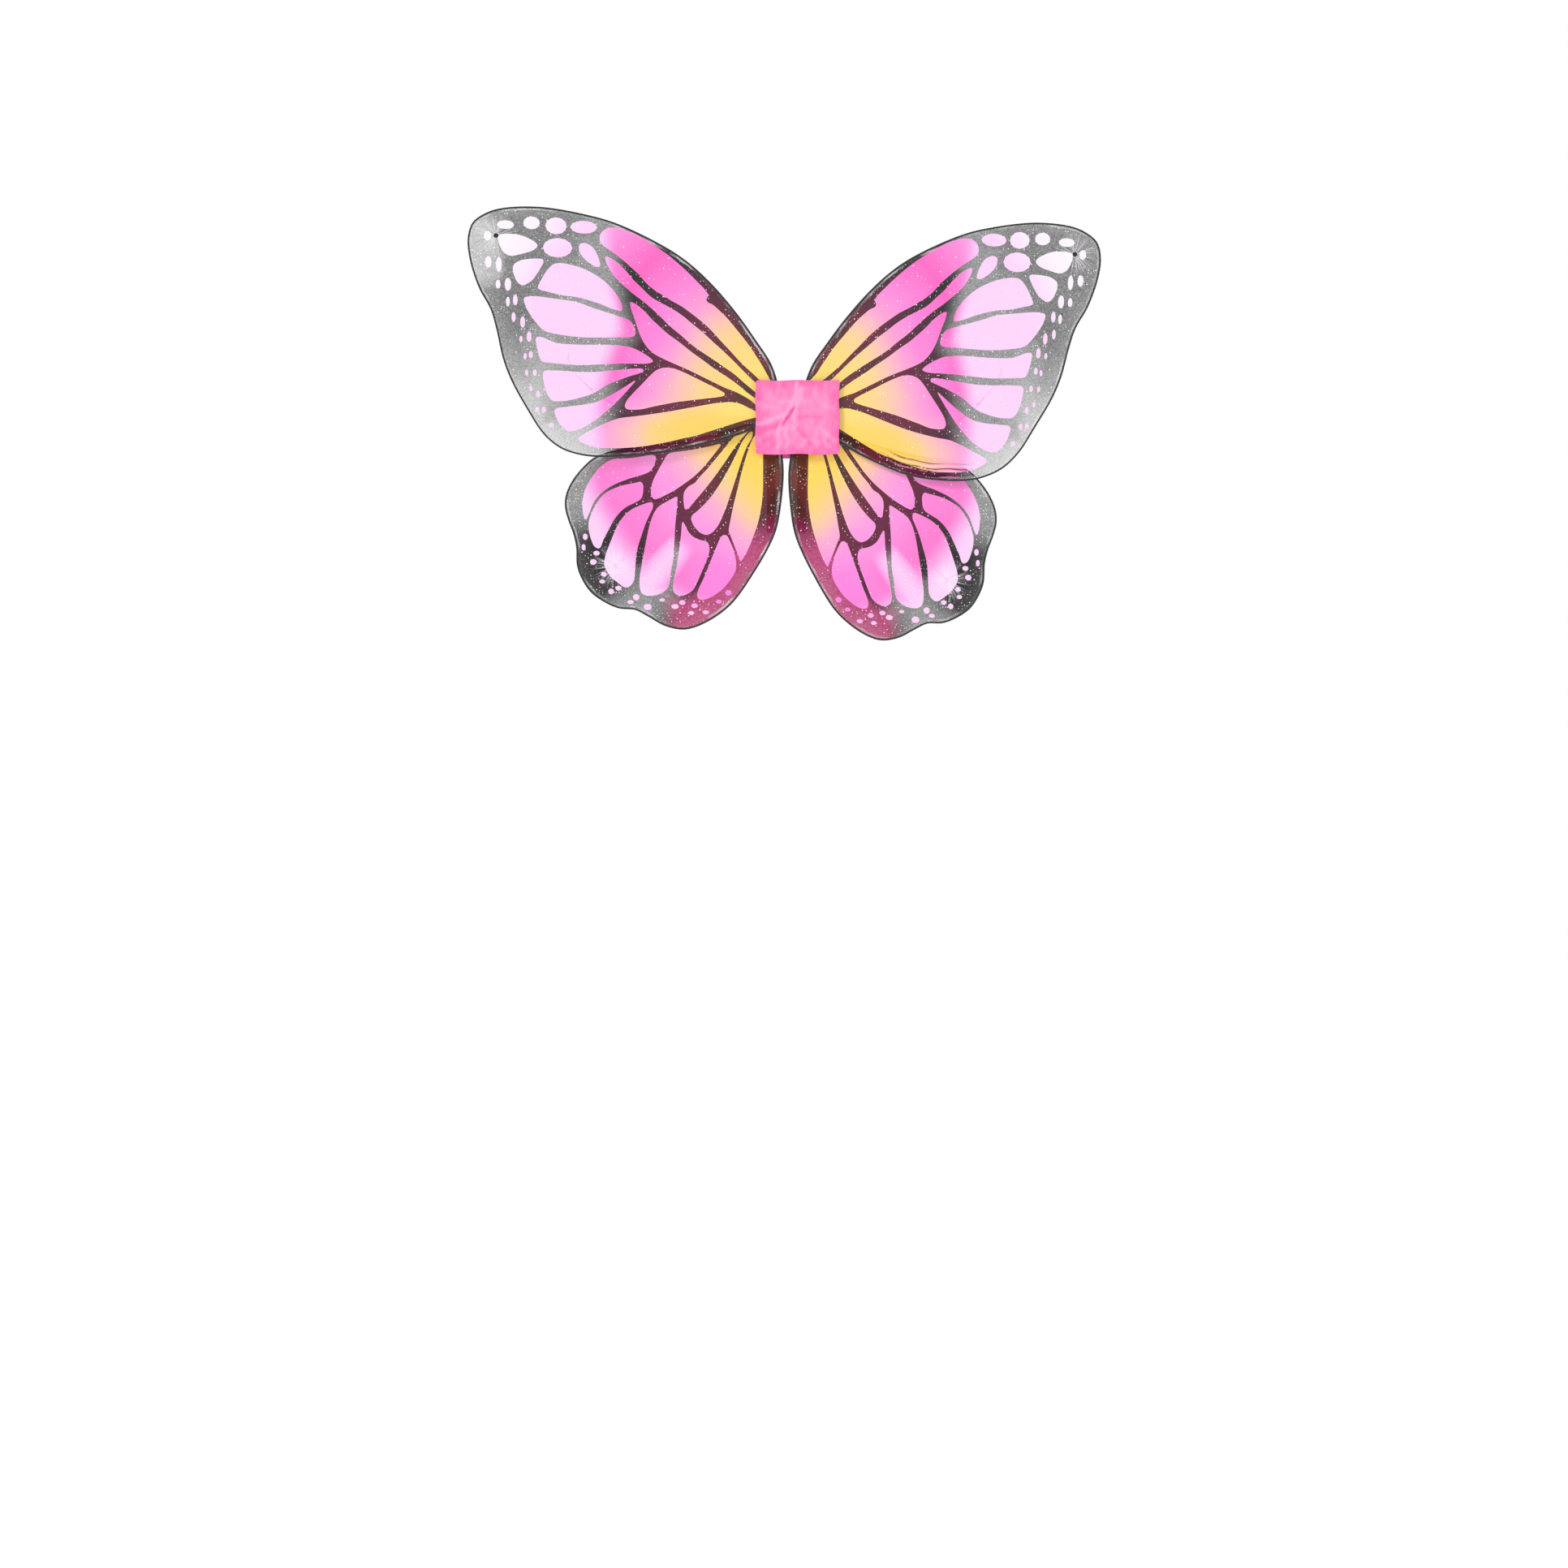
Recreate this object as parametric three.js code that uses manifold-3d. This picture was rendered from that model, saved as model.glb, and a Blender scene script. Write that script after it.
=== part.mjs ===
// Child's fairy wings: four printed film wings on wire loops, joined under a soft centre patch.
// Millimetres, +Z up, +Y towards the wearer, +X to the wearer's right.
// The origin is the middle of the pad's face, which rests on the wearer's back.
import * as THREE from 'three';
import { mergeVertices } from 'three/addons/utils/BufferGeometryUtils.js';
import Module from 'manifold-3d';

const wasm = await Module();
wasm.setup();

// ---------- Driving dimensions ----------
const CLEARANCE = 0.3;            // between pieces that touch or are sealed to each other

const UPPER_REACH = 287;          // centre line to the upper wing's tip
const UPPER_RISE = 190.5;         // pad's middle to the top of the upper wing
const LOWER_REACH = 200;          // centre line to the lower wing's side
const LOWER_DROP = 189;           // pad's middle to the bottom of the lower wing
const UPPER_SWEEP = 6;            // degrees that the upper wings lean back from flat
const LOWER_SWEEP = 5;

const WIRE_D = 1.6;
const FILM_T = 0.4;
const WIRE_CUT = 2;               // along the wire, from the bend line to each cut end
const FILM_CUT = 0.45;            // from the bend line to each cut edge of the film
const HEM_GAP = 0.5;              // between the wire and the film's edge

const PATCH_W = 76;
const PATCH_H = 67;
const PATCH_T = 1.2;
const PATCH_CORNER = 2;
const PATCH_X = 10;               // the patch sits off the wings' centre line
const PATCH_Z = 3.5;
const BEND_STANDOFF = 3.5;        // from the patch's edge or corner to a bend line

const PAD_W = 55;
const PAD_H = 67;
const PAD_T = 3;
const PAD_CORNER = 6;

const CRIMP_L = 8;
const CRIMP_WALL = 0.4;
const HAIRPIN_R = 1.4;            // half the distance between a loop's two ends in its crimp
const BINDING_W = 11;
const BINDING_H = 33.5;
const BINDING_Z = 1.5;
const BINDING_WALL = 1.4;         // several turns of cloth tape

const STRAP_W = 8;
const STRAP_T = 1.2;
const STRAP_X = 14;               // each elastic's distance from the centre line
const TAIL_L = 18;                // elastic sewn to the pad's outer side
const STRAP_ROOM = 1;             // free depth behind the tails, so that the elastics can swing
const STRAP_REACH = 31;           // how far the hanging elastic stands off the pad's face
const STRAP_HANG = 98;            // how far below the pad's middle it hangs

// Lengths of the straight steps that stand for a curve.
const WIRE_STEP = 7;
const ROOT_STEP = 2.2;

// ---------- The stack of layers, from the wearer's side outwards ----------
const CRIMP_T = WIRE_D + 2 * (CLEARANCE + CRIMP_WALL);
const TAIL_Y = -(PAD_T + CLEARANCE + STRAP_T / 2);
const LOWER_Y = TAIL_Y - STRAP_T / 2 - STRAP_ROOM - CRIMP_T / 2;
const BINDING_IN_Y = LOWER_Y + CRIMP_T / 2 + CLEARANCE + BINDING_WALL;
const UPPER_Y = LOWER_Y - CRIMP_T - CLEARANCE;
const BINDING_OUT_Y = UPPER_Y - CRIMP_T / 2 - CLEARANCE - BINDING_WALL;
const PATCH_Y = BINDING_OUT_Y - CLEARANCE;

// ---------- Materials ----------
function paint(color, roughness, metalness = 0, opacity = 1) {
  return new THREE.MeshStandardMaterial({ color, roughness, metalness, opacity, transparent: opacity < 1 });
}

const filmMaterial = paint(0xf8a8dc, 0.3, 0, 0.75);
const wireMaterial = paint(0x1c1a1c, 0.35, 0.3);
const crimpMaterial = paint(0xb8b8bc, 0.35, 0.9);
const tapeMaterial = paint(0xe9e4dc, 0.8);
const plushMaterial = paint(0xff78be, 0.9);
const elasticMaterial = paint(0xf25fae, 0.8);

const model = new THREE.Group();

function addPiece(parent, name, geometry, material) {
  const mesh = new THREE.Mesh(geometry, material);
  mesh.name = name;
  parent.add(mesh);
  return mesh;
}

// ---------- Solid helpers ----------
function toSolid(geometry) {
  const bare = geometry.clone();
  bare.deleteAttribute('normal');
  bare.deleteAttribute('uv');
  const merged = mergeVertices(bare, 1e-4);
  return new wasm.Manifold(new wasm.Mesh({
    numProp: 3,
    vertProperties: merged.attributes.position.array,
    triVerts: new Uint32Array(merged.index.array),
  }));
}

function toGeometry(solid) {
  const mesh = solid.getMesh();
  const geometry = new THREE.BufferGeometry();
  geometry.setAttribute('position', new THREE.BufferAttribute(mesh.vertProperties, 3));
  geometry.setIndex(new THREE.BufferAttribute(mesh.triVerts, 1));
  return geometry;
}

// A flat plate lying in the X-Z plane, its thickness centred on y.
function plate(points, thickness, y) {
  const shape = new THREE.Shape(points);
  const geometry = new THREE.ExtrudeGeometry(shape, { depth: thickness, bevelEnabled: false });
  geometry.rotateX(Math.PI / 2);
  geometry.translate(0, y + thickness / 2, 0);
  return geometry;
}

function roundedRectangle(width, height, corner, centreX, centreZ) {
  const shape = new THREE.Shape();
  const right = centreX + width / 2;
  const left = centreX - width / 2;
  const top = centreZ + height / 2;
  const bottom = centreZ - height / 2;
  shape.absarc(right - corner, top - corner, corner, 0, Math.PI / 2);
  shape.absarc(left + corner, top - corner, corner, Math.PI / 2, Math.PI);
  shape.absarc(left + corner, bottom + corner, corner, Math.PI, 1.5 * Math.PI);
  shape.absarc(right - corner, bottom + corner, corner, 1.5 * Math.PI, 2 * Math.PI);
  return shape.getPoints(5);
}

// A round rod along a curve.
function rod(path, diameter, stepLength) {
  const sides = 6;
  const section = new THREE.Shape();
  section.absarc(0, 0, diameter / 2, 0, 2 * Math.PI);
  const ring = new THREE.Shape(section.getSpacedPoints(sides).slice(0, sides));
  const steps = Math.max(4, Math.round(path.getLength() / stepLength));
  return new THREE.ExtrudeGeometry(ring, { extrudePath: path, steps });
}

// The stretch of a closed curve from one share of its length to another, past its end if need be.
class Stretch extends THREE.Curve {
  constructor(curve, from, to) {
    super();
    this.curve = curve;
    this.from = from;
    this.to = to;
  }

  getPoint(t, target = new THREE.Vector3()) {
    const share = THREE.MathUtils.lerp(this.from, this.to, t);
    return this.curve.getPointAt(THREE.MathUtils.euclideanModulo(share, 1), target);
  }
}

// ---------- Wing outlines ----------
// Shares of the wing's reach and of its rise or drop, from the leading edge round to the trailing edge.
const UPPER_OUTLINE = [
  [0.049, 0.270], [0.100, 0.390], [0.151, 0.498], [0.227, 0.633], [0.304, 0.741], [0.380, 0.818],
  [0.533, 0.926], [0.636, 0.968], [0.776, 0.999], [0.891, 0.991], [0.942, 0.968], [0.985, 0.922],
  [1.000, 0.853], [0.995, 0.756], [0.967, 0.621], [0.929, 0.514], [0.911, 0.421], [0.891, 0.286],
  [0.865, 0.182], [0.814, 0.043], [0.763, -0.072], [0.712, -0.134], [0.661, -0.161], [0.602, -0.173],
  [0.482, -0.165], [0.380, -0.147], [0.304, -0.122], [0.202, -0.084], [0.112, -0.034],
];
const LOWER_OUTLINE = [
  [0.149, -0.011], [0.287, -0.048], [0.436, -0.087], [0.594, -0.116], [0.752, -0.138], [0.864, -0.176],
  [0.923, -0.230], [0.971, -0.297], [0.997, -0.363], [1.000, -0.418], [0.986, -0.477], [0.963, -0.543],
  [0.949, -0.610], [0.945, -0.700], [0.923, -0.763], [0.883, -0.825], [0.821, -0.872], [0.758, -0.900],
  [0.685, -0.907], [0.626, -0.939], [0.553, -0.982], [0.480, -1.000], [0.432, -0.994], [0.345, -0.953],
  [0.250, -0.874], [0.142, -0.711], [0.073, -0.580], [0.047, -0.508], [0.028, -0.398], [0.016, -0.254],
];

// How the hand-bent wires of each side are set. Reach and height are shares of the outline; lean and
// drop shear it. Shift moves it outwards and sag lets the upper wing's trailing edge hang, in mm.
const PLAIN_SET = { reach: 1, height: 1, lean: 0, drop: 0, shift: 0, sag: 0 };
const SIDES = [
  { name: 'left', sign: -1, upper: PLAIN_SET, lower: PLAIN_SET },
  {
    name: 'right',
    sign: 1,
    upper: { reach: 0.928, height: 1, lean: 0.057, drop: 0.0636, shift: 8, sag: 13.5 },
    lower: { reach: 0.955, height: 1.02, lean: 0.021, drop: 0.068, shift: 0, sag: 0 },
  },
];

// Where each loop's two ends lie under the patch, and how its wires run out to the outline.
// The third number is the share of the wing's shift that a point takes.
const ROOTS = {
  upper: {
    apex: [2.8, 7.5],
    direction: [0.707, 0.707],
    first: [[9.0, 22, 0.3], [7.9, 30, 0.95]],
    last: [[25.0, 0.5, 0.4], [20.0, 7.5, 0.2], [15.0, 12.5, 0]],
  },
  lower: {
    apex: [3.0, -3.0],
    direction: [0.55, -0.835],
    first: [[14.0, -12.5, 0], [20.5, -8.5, 0]],
    last: [[4.2, -31, 0], [5.6, -24, 0], [7.2, -17, 0]],
  },
};

function sagAt(reachShare, heightShare, sag) {
  if (heightShare >= 0) {
    return 0;
  }
  const along = THREE.MathUtils.clamp((reachShare - 0.08) / 0.72, 0, 1);
  return sag * Math.sin(Math.PI * along);
}

// One wing's outline in mm on the +X side, set about its crimp.
function outlinePoints(outline, reach, height, set, pivot) {
  return outline.map(([reachShare, heightShare]) => {
    const out = reachShare * reach - pivot.x;
    const up = heightShare * height - pivot.y;
    const x = pivot.x + set.shift + set.reach * out + set.lean * up;
    const z = pivot.y + set.height * up - set.drop * out - sagAt(reachShare, heightShare, set.sag);
    return new THREE.Vector2(x, z);
  });
}

// The wire loop's centre line: a hairpin at the crimp, then the outline.
function wingLoop(root, outline, shift, sign, y) {
  const apex = new THREE.Vector2(...root.apex);
  const out = new THREE.Vector2(...root.direction).normalize();
  const across = new THREE.Vector2(-out.y, out.x).multiplyScalar(HAIRPIN_R);
  const leg = (distance, side) => apex.clone().addScaledVector(out, distance).addScaledVector(across, side);
  const toPoints = (list) => list.map(([x, z, share]) => new THREE.Vector2(x + share * shift, z));
  const flat = [
    leg(-HAIRPIN_R, 0),
    leg(0, 1),
    leg(CRIMP_L / 2, 1),
    leg(CRIMP_L + CLEARANCE, 1),
    ...toPoints(root.first),
    ...outline,
    ...toPoints(root.last),
    leg(CRIMP_L + CLEARANCE, -1),
    leg(CRIMP_L / 2, -1),
    leg(0, -1),
  ];
  const points = flat.map((point) => new THREE.Vector3(sign * point.x, y, point.y));
  const curve = new THREE.CatmullRomCurve3(points, true, 'centripetal');
  curve.arcLengthDivisions = 2000;
  return curve;
}

// Signed distance from a wing's bend line, positive on the wing's side.
function pastBend(bend, point) {
  return point.clone().sub(bend.point).dot(bend.out);
}

// The two shares of the loop's length where it crosses the bend line.
function crossings(loop, bend) {
  const found = [];
  const steps = 400;
  for (let i = 0; i < steps; i += 1) {
    let low = i / steps;
    let high = (i + 1) / steps;
    const lowSign = Math.sign(pastBend(bend, loop.getPointAt(low)));
    if (lowSign !== Math.sign(pastBend(bend, loop.getPointAt(high % 1)))) {
      for (let round = 0; round < 20; round += 1) {
        const middle = (low + high) / 2;
        if (Math.sign(pastBend(bend, loop.getPointAt(middle))) === lowSign) {
          low = middle;
        } else {
          high = middle;
        }
      }
      found.push(low);
    }
  }
  return found;
}

// Shares of the loop's length from one to another, about step mm apart.
function evenShares(from, to, length, step) {
  const count = Math.max(1, Math.round((to - from) * length / step));
  return Array.from({ length: count }, (_, i) => THREE.MathUtils.lerp(from, to, i / count));
}

// The film inside the loop, from where the wires leave the crimp; finer where the root's wires curve.
function filmOutline(loop, start, end) {
  const inset = WIRE_D / 2 + HEM_GAP;
  const length = loop.getLength();
  const crimpShare = (CRIMP_L + 4 * HAIRPIN_R) / length;
  const shares = [
    ...evenShares(crimpShare, start, length, ROOT_STEP),
    ...evenShares(start, end, length, WIRE_STEP),
    ...evenShares(end, 1 - crimpShare, length, ROOT_STEP),
    1 - crimpShare,
  ];
  const places = shares.map((share) => loop.getPointAt(share));
  const area = THREE.ShapeUtils.area(places.map((place) => new THREE.Vector2(place.x, place.z)));
  const inward = Math.sign(area) * inset;
  return shares.map((share, i) => {
    const heading = loop.getTangentAt(share);
    return new THREE.Vector2(places[i].x - heading.z * inward, places[i].z + heading.x * inward);
  });
}

// The part of a solid that lies at least gap beyond the bend line, on the wing's side or the root's.
function keepSide(geometry, bend, side, gap) {
  const size = 2 * (UPPER_REACH + UPPER_RISE);
  const box = new THREE.BoxGeometry(size, size, size);
  box.translate(side * (size / 2 + gap), 0, 0);
  const up = new THREE.Vector3().crossVectors(bend.out, new THREE.Vector3(0, 1, 0));
  const turn = new THREE.Matrix4().makeBasis(bend.out, new THREE.Vector3(0, 1, 0), up);
  turn.setPosition(bend.point);
  box.applyMatrix4(turn);
  return toGeometry(toSolid(geometry).intersect(toSolid(box)));
}

// ---------- Pieces of one wing ----------
// The flattened sleeve that holds a loop's two ends side by side.
function crimpSleeve(root, sign, y) {
  const hollowT = WIRE_D + 2 * CLEARANCE;
  const hollowW = hollowT + 2 * HAIRPIN_R;
  const outer = roundedRectangle(hollowW + 2 * CRIMP_WALL, CRIMP_T, CRIMP_T / 2 - 0.01, 0, 0);
  const inner = roundedRectangle(hollowW, hollowT, hollowT / 2 - 0.01, 0, 0);
  const shape = new THREE.Shape(outer);
  shape.holes.push(new THREE.Path(inner));
  const geometry = new THREE.ExtrudeGeometry(shape, { depth: CRIMP_L, bevelEnabled: false });
  const out = new THREE.Vector3(sign * root.direction[0], 0, root.direction[1]).normalize();
  const thin = new THREE.Vector3(0, 1, 0);
  const wide = new THREE.Vector3().crossVectors(thin, out);
  const place = new THREE.Matrix4().makeBasis(wide, thin, out);
  place.setPosition(sign * root.apex[0], y, root.apex[1]);
  geometry.applyMatrix4(place);
  return geometry;
}

// The line that a wing bends about, just outside the patch: upright for an upper wing,
// and slanting past the patch's corner for a lower one.
function bendLine(level, sign, y) {
  const edgeX = PATCH_X + sign * (PATCH_W / 2 + BEND_STANDOFF);
  if (level === 'upper') {
    return { point: new THREE.Vector3(edgeX, y, 0), out: new THREE.Vector3(sign, 0, 0) };
  }
  const cornerX = PATCH_X + sign * PATCH_W / 2;
  const cornerZ = PATCH_Z - PATCH_H / 2;
  const out = new THREE.Vector3(sign, 0, -1).normalize();
  return { point: new THREE.Vector3(cornerX, y, cornerZ).addScaledVector(out, BEND_STANDOFF), out };
}

function addWing(side, level) {
  const isUpper = level === 'upper';
  const y = isUpper ? UPPER_Y : LOWER_Y;
  const root = ROOTS[level];
  const crimp = new THREE.Vector2(...root.direction).normalize().multiplyScalar(CRIMP_L / 2)
    .add(new THREE.Vector2(...root.apex));
  const outline = isUpper
    ? outlinePoints(UPPER_OUTLINE, UPPER_REACH, UPPER_RISE, side.upper, crimp)
    : outlinePoints(LOWER_OUTLINE, LOWER_REACH, LOWER_DROP, side.lower, crimp);
  const loop = wingLoop(root, outline, side[level].shift, side.sign, y);
  const bend = bendLine(level, side.sign, y);
  const [start, end] = crossings(loop, bend);
  const length = loop.getLength();
  const cut = WIRE_CUT / length;
  const name = `${level}_${side.name}`;

  const film = plate(filmOutline(loop, start, end), FILM_T, y);
  addPiece(model, `${name}_crimp`, crimpSleeve(root, side.sign, y), crimpMaterial);
  const tucked = new Stretch(loop, end + cut, start + 1 - cut);
  addPiece(model, `${name}_wire_root`, rod(tucked, WIRE_D, ROOT_STEP), wireMaterial);
  addPiece(model, `${name}_film_root`, keepSide(film, bend, -1, FILM_CUT), filmMaterial);

  // The wing leans back about its bend line.
  const swing = new THREE.Group();
  const axis = new THREE.Vector3().crossVectors(bend.out, new THREE.Vector3(0, -1, 0));
  const sweep = THREE.MathUtils.degToRad(isUpper ? UPPER_SWEEP : LOWER_SWEEP);
  swing.position.copy(bend.point);
  swing.quaternion.setFromAxisAngle(axis, sweep);
  model.add(swing);
  const reach = new Stretch(loop, start + cut, end - cut);
  const wire = addPiece(swing, `${name}_wire`, rod(reach, WIRE_D, WIRE_STEP), wireMaterial);
  const outerFilm = addPiece(swing, `${name}_film`, keepSide(film, bend, 1, FILM_CUT), filmMaterial);
  wire.position.copy(bend.point).negate();
  outerFilm.position.copy(wire.position);
}

// ---------- Centre ----------
function addCentre() {
  const patch = plate(roundedRectangle(PATCH_W, PATCH_H, PATCH_CORNER, PATCH_X, PATCH_Z), PATCH_T,
    PATCH_Y - PATCH_T / 2);
  addPiece(model, 'outer_patch', patch, plushMaterial);
  const pad = plate(roundedRectangle(PAD_W, PAD_H, PAD_CORNER, 0, 0), PAD_T, -PAD_T / 2);
  addPiece(model, 'inner_pad', pad, plushMaterial);

  // The tape wound round all four crimps, as a flat ring.
  const depth = BINDING_IN_Y - BINDING_OUT_Y;
  const middle = (BINDING_IN_Y + BINDING_OUT_Y) / 2;
  const innerH = BINDING_H - 2 * BINDING_WALL;
  const outer = roundedRectangle(depth, BINDING_H, BINDING_WALL, middle, BINDING_Z);
  const inner = roundedRectangle(depth - 2 * BINDING_WALL, innerH, CLEARANCE, middle, BINDING_Z);
  const ring = new THREE.Shape(outer);
  ring.holes.push(new THREE.Path(inner));
  const tape = new THREE.ExtrudeGeometry(ring, { depth: BINDING_W, bevelEnabled: false });
  tape.applyMatrix4(sideways(-BINDING_W / 2));
  addPiece(model, 'centre_binding', tape, tapeMaterial);
}

// Turns a solid drawn in (y, z) and extruded into one that runs along +X from startX.
function sideways(startX) {
  const turn = new THREE.Matrix4().makeBasis(
    new THREE.Vector3(0, 1, 0),
    new THREE.Vector3(0, 0, 1),
    new THREE.Vector3(1, 0, 0),
  );
  turn.setPosition(startX, 0, 0);
  return turn;
}

// ---------- Arm elastics ----------
// The hanging loop's middle line in (y, z): over the pad's top edge, down in front, and back up
// to the pad's bottom edge.
function strapLine() {
  const top = PAD_H / 2 + CLEARANCE;
  const bottom = -top;
  const points = [
    [TAIL_Y, top],
    [TAIL_Y + 0.6, top + 1.9],
    [-0.5, top + 2.9],
    [0.26 * STRAP_REACH, top + 0.5],
    [0.6 * STRAP_REACH, 0.6 * top],
    [0.86 * STRAP_REACH, -0.1 * top],
    [STRAP_REACH, 0.55 * bottom - 0.3 * (STRAP_HANG - top)],
    [STRAP_REACH, 0.7 * bottom - 0.55 * (STRAP_HANG - top)],
    [0.87 * STRAP_REACH, bottom - 0.8 * (STRAP_HANG - top)],
    [0.55 * STRAP_REACH, -STRAP_HANG],
    [0.22 * STRAP_REACH, bottom - 0.88 * (STRAP_HANG - top)],
    [0.03 * STRAP_REACH, bottom - 0.6 * (STRAP_HANG - top)],
    [-0.6, bottom - 0.32 * (STRAP_HANG - top)],
    [-1.6, bottom - 0.12 * (STRAP_HANG - top)],
    [TAIL_Y, bottom],
  ];
  const places = points.map(([y, z]) => new THREE.Vector3(0, y, z));
  return new THREE.CatmullRomCurve3(places, false, 'centripetal');
}

function addStraps() {
  const line = strapLine();
  const steps = 44;
  const inner = [];
  const outer = [];
  for (let i = 0; i <= steps; i += 1) {
    const place = line.getPointAt(i / steps);
    const heading = line.getTangentAt(i / steps);
    const side = new THREE.Vector2(heading.z, -heading.y);
    if (i === 0 || i === steps) {
      side.set(Math.sign(heading.z), 0);
    }
    const middle = new THREE.Vector2(place.y, place.z);
    inner.push(middle.clone().addScaledVector(side, STRAP_T / 2));
    outer.push(middle.clone().addScaledVector(side, -STRAP_T / 2));
  }
  const outline = new THREE.Shape([...inner, ...outer.reverse()]);
  for (const side of SIDES) {
    const webbing = new THREE.ExtrudeGeometry(outline, { depth: STRAP_W, bevelEnabled: false });
    webbing.applyMatrix4(sideways(side.sign * STRAP_X - STRAP_W / 2));
    addPiece(model, `${side.name}_arm_elastic`, webbing, elasticMaterial);
    for (const [end, sign] of [['top', 1], ['bottom', -1]]) {
      const tail = new THREE.BoxGeometry(STRAP_W, STRAP_T, TAIL_L);
      tail.translate(side.sign * STRAP_X, TAIL_Y, sign * (PAD_H / 2 - TAIL_L / 2));
      addPiece(model, `${side.name}_elastic_${end}_tail`, tail, elasticMaterial);
    }
  }
}

addCentre();
for (const side of SIDES) {
  addWing(side, 'upper');
  addWing(side, 'lower');
}
addStraps();

export default model;
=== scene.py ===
# %% [markdown]
# # A child's fairy wings
# Four printed film wings are stretched on wire loops and join under a soft patch. A pad rests on
# the wearer's back, and two elastics go round the arms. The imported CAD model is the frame: it
# fixes every size and joint, and this notebook dresses it. Lengths here are in millimetres until
# a mesh is made.

import math

import bmesh
import bpy
import numpy as np
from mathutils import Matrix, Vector, noise
from mathutils.geometry import delaunay_2d_cdt


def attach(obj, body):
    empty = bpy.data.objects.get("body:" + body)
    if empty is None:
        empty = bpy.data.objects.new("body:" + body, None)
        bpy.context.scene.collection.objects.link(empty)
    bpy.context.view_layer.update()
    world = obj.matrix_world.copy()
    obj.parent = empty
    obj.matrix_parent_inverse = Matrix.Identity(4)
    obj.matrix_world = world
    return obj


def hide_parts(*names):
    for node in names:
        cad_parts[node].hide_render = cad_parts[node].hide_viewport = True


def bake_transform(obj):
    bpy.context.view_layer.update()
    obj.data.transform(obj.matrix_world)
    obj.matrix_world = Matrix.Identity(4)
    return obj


MM = 0.001
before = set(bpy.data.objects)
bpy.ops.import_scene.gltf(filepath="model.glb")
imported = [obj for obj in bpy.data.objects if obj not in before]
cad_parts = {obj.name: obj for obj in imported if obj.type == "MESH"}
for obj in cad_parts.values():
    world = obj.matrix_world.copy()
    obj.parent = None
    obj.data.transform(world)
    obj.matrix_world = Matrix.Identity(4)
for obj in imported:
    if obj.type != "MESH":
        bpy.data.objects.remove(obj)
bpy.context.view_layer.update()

# %% [markdown]
# ## The camera comes first
# It stands 2.6 m behind the wearer and looks level at them, so the wings are seen flat. A long
# lens keeps the outline true. The view is wide enough for a whole child, as a costume is shown.

# %% Place the camera
VIEW_DISTANCE = 2.6
VIEW_WIDTH = 1.4297
VIEW_MIDDLE = (-0.0022, -0.329)

lens = bpy.data.cameras.new("costume_view")
lens.lens = lens.sensor_width * VIEW_DISTANCE / VIEW_WIDTH
camera = bpy.data.objects.new("costume_view", lens)
camera.location = (VIEW_MIDDLE[0], -VIEW_DISTANCE, VIEW_MIDDLE[1])
camera.rotation_euler = (math.radians(90), 0, 0)
bpy.context.scene.collection.objects.link(camera)
bpy.context.scene.camera = camera
print("lens", round(lens.lens, 1), "mm")

# %% [markdown]
# ## Shader maths as Python
# A material is a graph of small nodes. Wired by hand it is hard to read, so a `Signal` wraps one
# socket and lets `+ - * /` and `<` add the Math nodes. A `Graph` adds every other kind of node by
# one method, and a `Finish` is the graph of one material with its shader.

# %% Signals
class Signal:
    """One number, vector or colour that flows through a graph."""

    def __init__(self, graph, socket):
        self.graph = graph
        self.socket = socket

    def maths(self, operation, *values):
        inputs = dict(enumerate(values))
        return self.graph.node("ShaderNodeMath", {"operation": operation}, inputs)

    def __add__(self, other):
        return self.maths("ADD", self, other)

    def __sub__(self, other):
        return self.maths("SUBTRACT", self, other)

    def __rsub__(self, other):
        return self.maths("SUBTRACT", other, self)

    def __mul__(self, other):
        return self.maths("MULTIPLY", self, other)

    def __truediv__(self, other):
        return self.maths("DIVIDE", self, other)

    def __rtruediv__(self, other):
        return self.maths("DIVIDE", other, self)

    def __pow__(self, other):
        return self.maths("POWER", self, other)

    def __lt__(self, other):
        return self.maths("LESS_THAN", self, other)

    def __gt__(self, other):
        return self.maths("GREATER_THAN", self, other)

    __radd__ = __add__
    __rmul__ = __mul__

    def least(self, other):
        return self.maths("MINIMUM", self, other)

    def most(self, other):
        return self.maths("MAXIMUM", self, other)

    def rising(self, start, end):
        """0 before start, 1 after end, and a smooth slope between."""
        return self.graph.node(
            "ShaderNodeMapRange",
            {"interpolation_type": "SMOOTHSTEP"},
            {"Value": self, "From Min": start, "From Max": end},
        )

    def band(self, middle, half_width):
        """1 at the middle, falling to 0 at each side."""
        across = (self - middle) / half_width
        return (1 - across * across).most(0)


print("a signal is ready")

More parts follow.
